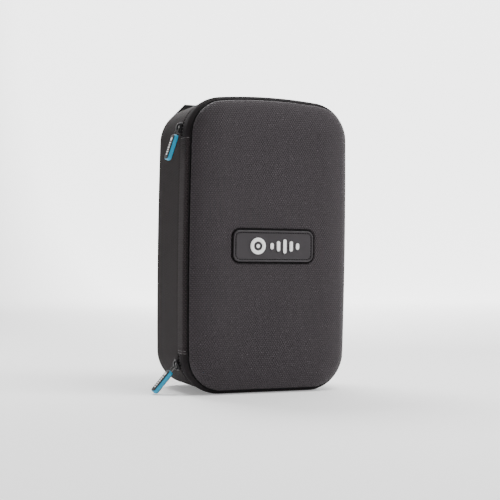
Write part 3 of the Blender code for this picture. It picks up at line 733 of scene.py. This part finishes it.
# ================================================================ the back shell
def make_back(finishes):
    """Deep moulded back shell with an eased rim and rounded rear edge."""
    rings = []
    straight = BACK_DEPTH - BACK_ROUND
    inner_round = BACK_ROUND - SHELL
    steps = 10
    for step in range(steps, -1, -1):
        angle = math.pi / 2.0 * step / steps
        inset = ZIP_INSET + BACK_TAPER + SHELL + inner_round * (1.0 - math.cos(angle))
        rings.append(ring_at(CASE, CORNER, inset, straight + inner_round * math.sin(angle)))
    rings.append(ring_at(CASE, CORNER, ZIP_INSET + SHELL, BACK_RIM + 0.5 * MM))
    ease = 0.9 * MM
    for step in range(7):
        angle = math.pi * step / 6.0
        middle = ZIP_INSET + SHELL / 2.0
        inset = middle + SHELL / 2.0 * math.cos(angle)
        rings.append(ring_at(CASE, CORNER, inset, BACK_RIM + ease * (1.0 - math.sin(angle))))
    for share in (0.08, 0.3, 0.55, 0.8, 1.0):
        depth = BACK_RIM + ease + (straight - BACK_RIM - ease) * share
        rings.append(ring_at(CASE, CORNER, ZIP_INSET + BACK_TAPER * share, depth))
    turn_start = len(rings)
    turns = 14
    for step in range(1, turns + 1):
        angle = math.pi / 2.0 * step / turns
        inset = ZIP_INSET + BACK_TAPER + BACK_ROUND * (1.0 - math.cos(angle))
        rings.append(ring_at(CASE, CORNER, inset, straight + BACK_ROUND * math.sin(angle)))
    middle = [Vector((p.x * 0.02, BACK_DEPTH, HEIGHT / 2.0 + (p.z - HEIGHT / 2.0) * 0.02)) for p in rings[-1]]
    last = rings[-1]
    for share in (0.25, 0.5, 0.75, 0.96):
        rings.append(between(last, middle, share))
    flat = range(turn_start + turns // 2, len(rings))
    back = skin("back_moulding", rings, finishes["back"], flat_uv=flat, angle=60.0)
    settle(back, "root", "shell", "back_shell")


# ================================================================ the band and the zip
def band_inset(depth):
    """How far the band's face lies in from the ridge at a depth."""
    crest_front = -LIP_DEPTH * 0.3
    crest_back = ZIP_DEPTH * 0.25
    if depth < crest_front:
        return LIP_INSET * ((crest_front - depth) / (LIP_DEPTH + crest_front)) ** 1.5
    if depth > crest_back:
        return ZIP_INSET * ((depth - crest_back) / (ZIP_DEPTH - crest_back)) ** 1.5
    return 0.0


def band_rings(front, back, thickness, steps=14):
    """Rings of the band's closed section."""
    rings = []
    depths = [front + (back - front) * step / steps for step in range(steps + 1)]
    for depth in depths:
        ease = 0.25 * MM if depth in (depths[0], depths[-1]) else 0.0
        rings.append(ring_at(CASE, CORNER, band_inset(depth) + ease, depth))
    for depth in reversed(depths):
        ease = -0.25 * MM if depth in (depths[0], depths[-1]) else 0.0
        rings.append(ring_at(CASE, CORNER, band_inset(depth) + thickness + ease, depth))
    return rings


def split_radius():
    """Radius about the hinge axis that parts the lid's band from the back's."""
    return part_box("upper_zip_end")[1][0] - HINGE.x


def bend_at_hinge(piece):
    """Zip cloth or teeth beside the hinge, between the back and the lid: the transform is baked into the
    mesh.
    """
    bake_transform(piece)


def make_band(finishes):
    """Zip cloth round the front: the lid's stretch and the two ends at the hinge side."""
    back = ZIP_DEPTH - 1.2 * MM
    radius = split_radius()
    for name, node, body in (("lid_band", "lid_zip_tape", "lid"), ("upper_band_end", "upper_zip_end", "root"),
                             ("lower_band_end", "lower_zip_end", "root")):
        band = skin(name, band_rings(-LIP_DEPTH, back, TAPE), finishes["tape"], closed=True)
        if body == "lid":
            cutter = hinge_cylinder(radius, -CORNER, HEIGHT + CORNER)
            boolean(band, cutter, "DIFFERENCE")
        else:
            low = HEM_TOP - 0.5 * MM if node == "upper_zip_end" else -CORNER
            high = HEIGHT + CORNER if node == "upper_zip_end" else HEM_BOTTOM + 0.5 * MM
            cutter = hinge_cylinder(radius, low, high)
            boolean(band, cutter, "INTERSECT")
        drop(cutter)
        band.data.shade_smooth()
        band.data.set_sharp_from_angle(angle=math.radians(40.0))
        hide_behind(band, "tape", node)
        if body == "lid":
            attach(band, "lid")
        else:
            bend_at_hinge(band)


def tooth(bm, matrix):
    """One turn of the coil, as a short rounded bar."""
    made = bmesh.ops.create_cube(bm, size=1.0)
    bmesh.ops.transform(bm, matrix=matrix, verts=made["verts"])


def coil_points():
    """Evenly spaced (point, outward, along) round the zip line."""
    ring = ring_at(CASE, CORNER, ZIP_INSET + 0.9 * MM, ZIP_DEPTH)
    lengths = arc_lengths(ring)
    total = lengths[-1]
    count = int(total / TOOTH_PITCH)
    spots = []
    index = 0
    for number in range(count):
        distance = total * number / count
        while lengths[index + 1] < distance:
            index += 1
        near = ring[index]
        far = ring[(index + 1) % len(ring)]
        share = (distance - lengths[index]) / max(1e-9, lengths[index + 1] - lengths[index])
        normal = CASE[index][1].lerp(CASE[(index + 1) % len(CASE)][1], share).normalized()
        spots.append((near.lerp(far, share), Vector((normal.x, 0.0, normal.y)), (far - near).normalized()))
    return spots


def make_coil(finishes):
    """Teeth of the zip on both sides, left out along the gusset."""
    radius = split_radius()
    groups = {"lid_teeth": bmesh.new(), "upper_end_teeth": bmesh.new(), "lower_end_teeth": bmesh.new(),
              "back_teeth": bmesh.new()}
    for number, (point, outward, along) in enumerate(coil_points()):
        if point.x < -WIDTH / 2.0 + CORNER / 2.0 and HEM_BOTTOM < point.z < HEM_TOP:
            continue
        side = 1.0 if number % 2 else -1.0
        near = point.x - HINGE.x < radius
        if side > 0.0:
            target = groups["back_teeth"]
        elif not near:
            target = groups["lid_teeth"]
        else:
            target = groups["upper_end_teeth" if point.z > HEIGHT / 2.0 else "lower_end_teeth"]
        across = Vector((0.0, 1.0, 0.0))
        turn = Matrix((along, across, outward)).transposed().to_4x4()
        middle = point + across * side * 0.75 * MM
        size = Matrix.Diagonal((0.95 * MM, 1.9 * MM, 1.1 * MM, 1.0))
        tooth(target, Matrix.Translation(middle) @ turn @ size)
    nodes = {"lid_teeth": "lid_zip_coil", "back_teeth": "back_zip_coil"}
    bodies = {"lid_teeth": "lid", "back_teeth": "root"}
    for name, bm in groups.items():
        bmesh.ops.bevel(bm, geom=list(bm.edges), offset=0.22 * MM, segments=1, affect="EDGES")
        teeth = mesh_object(name, bm, finishes["coil"], 60.0)
        if name in nodes:
            hide_behind(teeth, "coil", nodes[name])
            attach(teeth, bodies[name])
        else:
            bend_at_hinge(teeth)


# ================================================================ the gusset
def left_edge(height, inset, depth):
    """A point on the bowed left side."""
    middle = (UPPER_CENTRE.z + LOWER_CENTRE.z) / 2.0
    half = (UPPER_CENTRE.z - LOWER_CENTRE.z) / 2.0
    bow = SIDE_CROWN * ((height - middle) / half) ** 2
    return Vector((-(WIDTH / 2.0 - inset - bow), depth, height))


def make_gusset(finishes):
    """Cloth hinge strip on the left, from the lid's lip to the back shell's rim, hemmed at both ends."""
    bm = bmesh.new()
    uv_layer = bm.loops.layers.uv.new("cloth")
    front = -LIP_DEPTH
    back = BACK_RIM + 0.9 * MM
    across_steps = 18
    up_steps = 90

    def lift(height):
        """How proud the doubled hem stands."""
        distance = min(height - HEM_BOTTOM, HEM_TOP - height)
        return HEM_RISE * min(1.0, max(0.0, 1.0 - (distance - HEM_WIDTH) / (0.8 * MM)))

    heights = [HEM_BOTTOM + (HEM_TOP - HEM_BOTTOM) * step / up_steps for step in range(up_steps + 1)]
    for edge in (HEM_BOTTOM + HEM_WIDTH, HEM_TOP - HEM_WIDTH):
        heights += [edge - 0.4 * MM, edge, edge + 0.4 * MM, edge + 0.8 * MM, edge - 0.8 * MM]
    heights = sorted(set(heights))
    outer = []
    inner = []
    for height in heights:
        row_out = []
        row_in = []
        for step in range(across_steps + 1):
            share = step / across_steps
            depth = front + (back - front) * share
            inset = 0.45 * MM + band_inset(min(depth, 0.0))
            inset -= 0.35 * MM * math.sin(math.pi * min(1.0, share * 1.6))
            inset -= lift(height) * math.sin(math.pi * share) ** 0.4
            if depth > ZIP_DEPTH - 2.0 * MM:
                inset += 0.9 * MM * min(1.0, (depth - ZIP_DEPTH + 2.0 * MM) / (2.0 * MM))
            row_out.append(bm.verts.new(left_edge(height, inset, depth)))
            row_in.append(bm.verts.new(left_edge(height, inset + 1.0 * MM, depth)))
        outer.append(row_out)
        inner.append(row_in)

    def quad(corners):
        """One face with its UV in depth and height."""
        face = bm.faces.new(corners)
        for loop in face.loops:
            loop[uv_layer].uv = (loop.vert.co.y, loop.vert.co.z)

    for low, high in zip(range(len(heights) - 1), range(1, len(heights))):
        for step in range(across_steps):
            quad((outer[low][step], outer[low][step + 1], outer[high][step + 1], outer[high][step]))
            quad((inner[low][step], inner[high][step], inner[high][step + 1], inner[low][step + 1]))
        quad((outer[low][0], outer[high][0], inner[high][0], inner[low][0]))
        quad((outer[low][-1], inner[low][-1], inner[high][-1], outer[high][-1]))
    for row_out, row_in in ((outer[0], inner[0]), (outer[-1], inner[-1])):
        for step in range(across_steps):
            quad((row_out[step], row_out[step + 1], row_in[step + 1], row_in[step]))
    gusset = mesh_object("hinge_cloth", bm, finishes["gusset"], 60.0)
    hide_behind(gusset, "shell", "hinge_gusset", "gusset_top_end", "gusset_back_hem")
    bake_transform(gusset)
    make_gusset_stitches(finishes)


def make_gusset_stitches(finishes):
    """Thread along the hems and beside the lid's lip."""
    rows = []
    for height in (HEM_BOTTOM + 0.7 * MM, HEM_BOTTOM + 3.0 * MM, HEM_TOP - 0.8 * MM):
        path = []
        for step in range(13):
            depth = -LIP_DEPTH + 0.6 * MM + (ZIP_DEPTH + LIP_DEPTH - 2.4 * MM) * step / 12.0
            path.append(left_edge(height, band_inset(min(depth, 0.0)) - 0.1 * MM, depth))
        # The hem rows take the pale thread, whose paleness is painted highlight of the hems' edges.
        rows.append(("hem_stitches_%d" % len(rows), path, "hem_thread_painted_highlight"))
    seam = []
    for step in range(41):
        height = HEM_BOTTOM + 1.0 * MM + (HEM_TOP - HEM_BOTTOM - 2.0 * MM) * step / 40.0
        seam.append(left_edge(height, LIP_INSET * 0.62, -LIP_DEPTH + 1.0 * MM))
    rows.append(("lip_seam_stitches", seam, "thread"))
    for name, path, finish in rows:
        row = stitch_row(name, path, 2.3 * MM, 0.9 * MM, 0.24 * MM, finishes[finish])
        if name == "lip_seam_stitches":
            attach(row, "lid")
        else:
            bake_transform(row)


# ================================================================ sliders and pulls
QUARTER_TURN = Matrix.Rotation(math.radians(90.0), 4, "Z")


def track_matrix(centre, pivot):
    """Place of a slider's local frame: Z along the track, -X outwards."""
    angle = math.atan2(pivot.z - centre.z, centre.x - pivot.x)
    return Matrix.Translation(centre) @ Matrix.Rotation(angle, 4, "Y")


def slider_outline():
    """Plan of the slider's plate: two shoulders at the nose and a narrower tail."""
    half = SLIDER_LENGTH / 2.0
    wide = SLIDER_WIDTH / 2.0
    right = [(0.30, 1.00), (0.62, 0.97), (0.88, 0.82), (1.00, 0.50), (0.98, 0.15),
             (0.86, -0.20), (0.72, -0.55), (0.68, -0.80), (0.50, -0.96), (0.22, -1.00)]
    points = [(wide * x, half * z) for x, z in right]
    points += [(-x, z) for x, z in reversed(points)]
    return points


def make_slider(side, centre, pivot, flip, finishes):
    """Die-cast slider: plate with rounded edges, crown bridge and its eye."""
    matrix = track_matrix(centre, pivot)
    reach = -(CORNER + 0.3 * MM)
    plate = extruded(side + "_slider_plate", slider_outline(), SLIDER_THICK, finishes["metal"], 0.45 * MM, 3)
    lay = Matrix.Translation((reach - SLIDER_THICK / 2.0, 0.0, 0.0)) @ QUARTER_TURN
    flipped = Matrix.Diagonal((1.0, 1.0, -1.0 if flip else 1.0, 1.0))
    plate.data.transform(matrix @ lay @ flipped)
    if flip:
        plate.data.flip_normals()

    hole = (pivot - centre).length
    rise = hole + 1.05 * MM + 0.55 * MM
    bm = bmesh.new()
    rows = []
    steps = 16
    half_long = 3.8 * MM
    for step in range(steps + 1):
        angle = math.pi * step / steps
        z = -half_long * math.cos(angle)
        lift = math.sin(angle) ** 0.45 if 0 < step < steps else 0.0
        out = -(CORNER + 1.6 * MM) - (rise - CORNER - 1.6 * MM) * lift
        inward = 1.05 * MM
        z_in = z * 0.72
        out_in = -(CORNER + 1.4 * MM) - (rise - CORNER - 1.6 * MM - inward) * lift
        wide = (1.25 + 0.25 * math.sin(angle)) * MM
        rows.append([bm.verts.new((out, -wide, z)), bm.verts.new((out, wide, z)),
                     bm.verts.new((out_in, wide, z_in)), bm.verts.new((out_in, -wide, z_in))])
    tube_faces(bm, rows)
    bm.faces.new(rows[0])
    bm.faces.new(rows[-1])
    bmesh.ops.transform(bm, matrix=matrix, verts=bm.verts)
    bridge = mesh_object(side + "_slider_bridge", bm, finishes["metal"], 50.0)
    bevel = bridge.modifiers.new("ease", "BEVEL")
    bevel.width = 0.25 * MM
    bevel.segments = 2
    bevel.limit_method = "ANGLE"
    body = side + "_slider_body"
    settle(plate, body, "metal", side + "_slider")
    settle(bridge, body, "metal")


def tab_outline(shrink=0.0):
    """Plan of the pull tab, in width and length, hanging from its top."""
    return pill(TAB_WIDTH - 2.0 * shrink, TAB_LENGTH - 2.0 * shrink, 2.3 * MM - shrink * 0.7, 8)


def make_pull(side, pivot, lie, finishes):
    """Wire bail and injection-moulded tab: blue core between two black faces with a white mark."""
    matrix = Matrix.Translation(pivot) @ Matrix.Rotation(math.radians(lie), 4, "Y")
    body = side + "_pull"
    half = BAIL_WIDTH / 2.0
    end = -BAIL_LENGTH - 1.6 * MM
    bend = 1.5 * MM
    loop = []
    for cy, cz, start in ((half - bend, -bend * 0.2, 90.0), (-(half - bend), -bend * 0.2, 180.0)):
        for step in range(7):
            angle = math.radians(start - 90.0 + 90.0 * step / 6.0)
            loop.append((0.0, cy + bend * math.cos(angle), cz - bend + bend * math.sin(angle) + bend * 0.2))
    narrow = half * 0.62
    tight = bend * 0.6
    for cy, start in ((-(narrow - tight), 180.0), (narrow - tight, 270.0)):
        for step in range(7):
            angle = math.radians(start + 90.0 * step / 6.0)
            loop.append((0.0, cy + tight * math.cos(angle), end + tight + tight * math.sin(angle)))
    bail = wire(side + "_bail_wire", loop, BAIL_WIRE / 2.0, finishes["wire"], cyclic=True)
    bail.data.transform(matrix)
    settle(bail, body, "metal", side + "_bail")

    top = -BAIL_LENGTH - 0.95 * MM
    lay = matrix @ Matrix.Translation((0.0, 0.0, top - TAB_LENGTH / 2.0)) @ QUARTER_TURN
    core = extruded(side + "_tab_blue_core", tab_outline(), TAB_CORE + 0.9 * MM, finishes["blue"],
                    0.35 * MM, 3)
    groove_core(core)
    core.data.transform(lay)
    settle(core, body, "tab", side + "_tab_core")
    stand = TAB_CORE / 2.0 + 0.3 * MM + 0.35 * MM
    for face, way in (("outer", 1.0), ("inner", -1.0)):
        plate = extruded(side + "_tab_" + face + "_plate", tab_outline(0.55 * MM), TAB_FACE,
                         finishes["tab_face"], 0.28 * MM, 3)
        plate.data.transform(lay @ Matrix.Translation((0.0, way * stand, 0.0)))
        settle(plate, body, "rubber", side + "_tab_" + face + "_face")
        make_tab_mark(side, face, lay, way, stand + TAB_FACE / 2.0, body, finishes)


def groove_core(core):
    """Shallow diagonal grip grooves on the core's narrow sides."""
    mesh = core.data
    bm = bmesh.new()
    bm.from_mesh(mesh)
    half = TAB_LENGTH * 0.5
    long_edges = [edge for edge in bm.edges if abs(edge.verts[0].co.z - edge.verts[1].co.z) > half]
    bmesh.ops.subdivide_edges(bm, edges=long_edges, cuts=46, use_grid_fill=True)
    for vert in bm.verts:
        if abs(abs(vert.co.x) - TAB_WIDTH / 2.0) < 0.2 * MM and abs(vert.co.z) < TAB_LENGTH * 0.38:
            wave = math.sin((vert.co.z + vert.co.y) * 2.0 * math.pi / (2.0 * MM))
            vert.co.x -= math.copysign(0.14 * MM * (0.5 + 0.5 * wave), vert.co.x)
    bm.to_mesh(mesh)
    bm.free()


def make_tab_mark(side, face, lay, way, out, body, finishes):
    """Raised white mark on a tab's face: a dot and a row of short bars."""
    shapes = [pill(3.4 * MM, 3.4 * MM, 1.69 * MM, 8, (0.0, TAB_LENGTH * 0.5 - 4.6 * MM))]
    for number in range(6):
        centre = (0.0, TAB_LENGTH * 0.5 - 8.0 * MM - 2.1 * MM * number)
        shapes.append(pill(3.6 * MM - 0.9 * MM * (number % 2), 1.25 * MM, 0.6 * MM, 5, centre))
    bm = bmesh.new()
    for outline in shapes:
        grow(bm, outline, 0.0, way * 0.22 * MM)
    shift = Matrix.Translation((0.0, way * (out - 0.06 * MM), 0.0))
    bmesh.ops.transform(bm, matrix=lay @ shift, verts=bm.verts)
    mark = mesh_object(side + "_tab_" + face + "_mark", bm, finishes["mark"])
    settle(mark, body, "mark")


# ================================================================ the handle
def make_handle(finishes):
    """Webbing handle with folded mitres, sewn ends and the short fold between them."""
    half = (handle_high[0] - handle_low[0]) / 2.0
    fold = handle_low[2]
    rise = handle_high[2] - fold
    depth = (handle_low[1] + handle_high[1]) / 2.0
    inner = half - WEBBING_WIDTH
    under = rise - WEBBING_WIDTH
    nick = MITRE * 0.4
    outline = [(half, 0.0), (half, rise - MITRE), (half - MITRE, rise), (-half + MITRE, rise),
               (-half, rise - MITRE), (-half, 0.0), (-inner, 0.0), (-inner, under - nick),
               (-inner + nick, under), (inner - nick, under), (inner, under - nick), (inner, 0.0)]
    handle = extruded("handle_webbing", outline, WEBBING, finishes["webbing"], 0.9 * MM, 4)
    handle.data.transform(Matrix.Translation((0.0, depth, fold)))
    box_uv(handle)
    settle(handle, "handle", "webbing", "carry_handle")
    rows = []
    for way in (-1.0, 1.0):
        outer_corner = Vector((way * (half - 1.5 * MM), 0.0, rise - MITRE))
        inner_corner = Vector((way * (inner + 1.0 * MM), 0.0, under - nick))
        rows.append([outer_corner, inner_corner])
    for number, path in enumerate(rows):
        for way in (-1.0, 1.0):
            shift = Vector((0.0, depth + way * (WEBBING / 2.0 + 0.02 * MM), fold))
            row = stitch_row("mitre_stitches_%d_%d" % (number, int(way > 0)), [p + shift for p in path],
                             2.4 * MM, 0.9 * MM, 0.26 * MM, finishes["thread"])
            settle(row, "handle", "piping")
    for side in ("left", "right"):
        make_handle_end(side, fold, depth, finishes)


def make_handle_end(side, fold, depth, finishes):
    """One sewn end of the handle with box stitching and the fold above it."""
    low, high = (Vector(v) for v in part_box("handle_end_" + side))
    centre = (low + high) / 2.0
    size = high - low
    end = extruded("handle_sewn_" + side, pill(size.x, size.z, 1.2 * MM, 4), WEBBING, finishes["webbing"],
                   0.9 * MM, 4)
    end.data.transform(Matrix.Translation(centre))
    box_uv(end)
    settle(end, "root", "webbing", "handle_end_" + side)
    face = high.y + 0.05 * MM
    inset = 3.0 * MM
    corners = [Vector((x, face, z)) for x, z in (
        (low.x + inset, low.z + inset), (high.x - inset, low.z + inset),
        (high.x - inset, high.z - inset), (low.x + inset, high.z - inset))]
    paths = [corners, corners[0::2], corners[1::2]]
    for number, path in enumerate(paths):
        row = stitch_row("box_stitches_%s_%d" % (side, number), path, 2.2 * MM, 0.8 * MM, 0.26 * MM,
                         finishes["thread"], cyclic=number == 0)
        settle(row, "root", "piping")
    gap = fold - high.z
    strip = extruded("handle_fold_" + side, pill(size.x, gap + 2.4 * MM, 0.5 * MM, 3), WEBBING * 0.86,
                     finishes["webbing"], 0.5 * MM, 2)
    strip.data.transform(Matrix.Translation((centre.x, depth, high.z + gap / 2.0)))
    box_uv(strip)
    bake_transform(strip)


# ================================================================ the inside
def make_inside(finishes):
    """Linings, foam, net pocket and its binding."""
    nodes = frame["nodes"]
    for name, finish in (("back_lining", "lining"), ("lid_lining", "lining"), ("back_zip_tape", "tape"),
                         ("upper_end_stop", "metal"), ("lower_end_stop", "metal")):
        node = nodes[name]
        node.data.materials.clear()
        node.data.materials.append(finishes[finish])
    make_foam(finishes)
    make_pocket(finishes)


def make_foam(finishes):
    """Foam insert with softened edges round its recess."""
    source = frame["nodes"]["foam_insert"]
    foam = linked("foam_block", source.data.copy())
    foam.data.materials.clear()
    foam.data.materials.append(finishes["foam"])
    bm = bmesh.new()
    bm.from_mesh(foam.data)
    bmesh.ops.remove_doubles(bm, verts=bm.verts, dist=0.00002)
    bmesh.ops.dissolve_limit(bm, angle_limit=math.radians(1.0), verts=bm.verts, edges=bm.edges)
    bm.to_mesh(foam.data)
    bm.free()
    ease = foam.modifiers.new("ease", "BEVEL")
    ease.width = 1.4 * MM
    ease.segments = 3
    ease.limit_method = "ANGLE"
    ease.angle_limit = math.radians(50.0)
    foam.data.shade_smooth()
    foam.data.set_sharp_from_angle(angle=math.radians(40.0))
    settle(foam, "root", "foam", "foam_insert")


def make_pocket(finishes):
    """Stretched net pocket with a slight belly, and its gathered elastic binding."""
    low, high = (Vector(v) for v in (net_low, net_high))
    width = high.x - low.x
    height = high.z - low.z
    inset = WIDTH / 2.0 - high.x
    bm = bmesh.new()
    uv_layer = bm.loops.layers.uv.new("cloth")
    across = 48
    upward = 60
    corner = CORNER - inset
    rows = []
    for up in range(upward + 1):
        z = low.z + height * up / upward
        narrow = 0.0
        if z - low.z < corner:
            drop_in = corner - (z - low.z)
            narrow = corner - math.sqrt(max(0.0, corner * corner - drop_in * drop_in))
        half = width / 2.0 - narrow
        row = []
        for step in range(across + 1):
            u = 2.0 * step / across - 1.0
            v = up / upward
            belly = 0.9 * MM * (1.0 - u * u) * math.sin(math.pi * min(1.0, v * 1.1 + 0.05))
            row.append(bm.verts.new((half * u, (low.y + high.y) / 2.0 + belly, z)))
        rows.append(row)
    for near, far in zip(rows, rows[1:]):
        for step in range(across):
            uv_from_xz(bm.faces.new((near[step], near[step + 1], far[step + 1], far[step])), uv_layer)
    net = mesh_object("pocket_cloth", bm, finishes["net"])
    thick = net.modifiers.new("cloth", "SOLIDIFY")
    thick.thickness = 0.6 * MM
    thick.offset = 0.0
    settle(net, "lid", "net", "pocket_net")
    binding = make_binding(finishes)


def make_binding(finishes):
    """Elastic binding with small gathers along the pocket's top edge."""
    low, high = (Vector(v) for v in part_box("pocket_binding"))
    bm = bmesh.new()
    uv_layer = bm.loops.layers.uv.new("cloth")
    steps = 160
    rows = []
    middle = (low.y + high.y) / 2.0
    half_thick = (high.y - low.y) / 2.0
    for step in range(steps + 1):
        x = low.x + (high.x - low.x) * step / steps
        gather = 0.25 * MM * math.sin(x * 2.0 * math.pi / (3.1 * MM))
        ring = []
        for turn in range(12):
            angle = 2.0 * math.pi * turn / 12.0
            bulge = math.copysign(abs(math.cos(angle)) ** 0.6, math.cos(angle))
            y = middle + (half_thick - 0.25 * MM + gather) * bulge
            z = (low.z + high.z) / 2.0
            z += (high.z - low.z) / 2.0 * math.copysign(abs(math.sin(angle)) ** 0.5, math.sin(angle))
            ring.append(bm.verts.new((x, y, z)))
        rows.append(ring)
    tube_faces(bm, rows, uv_layer)
    bm.faces.new(rows[0])
    bm.faces.new(rows[-1])
    binding = mesh_object("pocket_elastic", bm, finishes["webbing"], 60.0)
    settle(binding, "lid", "webbing", "pocket_binding")
    return binding


# ================================================================ stage
def make_stage():
    """Pale floor that curves up into a backdrop; the paper glows as painted light, weak at the front and to
    the left and strong behind and to the right.
    """
    bm = bmesh.new()
    width = 12.0
    profile = [(-12.0, 0.0), (1.6, 0.0)]
    radius = 1.2
    for step in range(1, 17):
        angle = math.pi / 2.0 * step / 16.0
        profile.append((1.6 + radius * math.sin(angle), radius * (1.0 - math.cos(angle))))
    profile.append((1.6 + radius, 4.5))
    left = [bm.verts.new((-width, y, z)) for y, z in profile]
    right = [bm.verts.new((width, y, z)) for y, z in profile]
    for index in range(len(profile) - 1):
        bm.faces.new((left[index], right[index], right[index + 1], left[index + 1]))
    paper = Finish("paper", (0.93, 0.93, 0.93), 0.9)
    # The paper glows as painted light that lights the case: weak at the front and to the left, strong behind
    # and to the right.
    paper.shader.inputs["Emission Color"].default_value = (1.0, 1.0, 1.0, 1.0)
    parts = paper.node("ShaderNodeSeparateXYZ")
    paper.link(paper.place("Object"), parts.inputs[0])
    deep = paper.spread(parts.outputs[1], 0.3, 1.4, 0.0, 1.0)
    far_right = paper.spread(parts.outputs[0], -0.05, 0.45, 0.0, 1.0)
    lit = paper.maths("MULTIPLY", paper.maths("MULTIPLY", deep, far_right), BACKDROP_GLOW - FLOOR_GLOW)
    paper.link(paper.maths("ADD", lit, FLOOR_GLOW), paper.shader.inputs["Emission Strength"])
    floor = mesh_object("floor", bm, paper.material)


def area_light(name, place, size, power):
    """A soft square light that looks at the middle of the case."""
    data = bpy.data.lights.new(name, "AREA")
    data.shape = "SQUARE"
    data.size = size
    data.energy = power
    made = linked(name, data)
    made.location = place
    direction = LIGHT_TARGET - Vector(place)
    made.rotation_euler = direction.to_track_quat("-Z", "Y").to_euler()


def make_lights():
    """Soft studio light: key from the front right, one above, a rim behind and a weak side light."""
    world = bpy.data.worlds.new("studio")
    bpy.context.scene.world = world
    world.use_nodes = True
    world.node_tree.nodes["Background"].inputs["Color"].default_value = (1.0, 1.0, 1.0, 1.0)
    world.node_tree.nodes["Background"].inputs["Strength"].default_value = WORLD_GLOW
    for name, place, size, power in LIGHTS:
        area_light(name, place, size, power)


def make_camera():
    """The camera, at the case's front left."""
    yaw = math.radians(CAMERA_YAW)
    pitch = math.radians(CAMERA_PITCH)
    back = Vector((-math.sin(yaw) * math.cos(pitch), -math.cos(yaw) * math.cos(pitch), math.sin(pitch)))
    right = (-back).cross(Vector((0.0, 0.0, 1.0))).normalized()
    up = right.cross(-back)
    roll = math.radians(CAMERA_ROLL)
    across = right * math.cos(roll) + up * math.sin(roll)
    upward = up * math.cos(roll) - right * math.sin(roll)
    data = bpy.data.cameras.new("camera")
    data.lens = CAMERA_LENS
    data.sensor_width = SENSOR_WIDTH
    camera = linked("camera", data)
    matrix = Matrix((across, upward, back)).transposed().to_4x4()
    matrix.translation = CAMERA_PLACE
    camera.matrix_world = matrix
    bpy.context.scene.camera = camera


# ================================================================ everything
def build():
    """Make every visible piece, the stage, the lights and the camera."""
    make_camera()
    make_lights()
    make_stage()
    finishes = make_finishes()
    badge = make_lid(finishes)
    make_badge(badge, finishes)
    make_marks(finishes)
    make_piping(finishes)
    make_back(finishes)
    make_band(finishes)
    make_coil(finishes)
    make_gusset(finishes)
    make_slider("upper", UPPER_CENTRE, UPPER_PIVOT, False, finishes)
    make_slider("lower", LOWER_CENTRE, LOWER_PIVOT, True, finishes)
    make_pull("upper", UPPER_PIVOT, UPPER_LIE, finishes)
    make_pull("lower", LOWER_PIVOT, LOWER_LIE, finishes)
    make_handle(finishes)
    make_inside(finishes)


build()
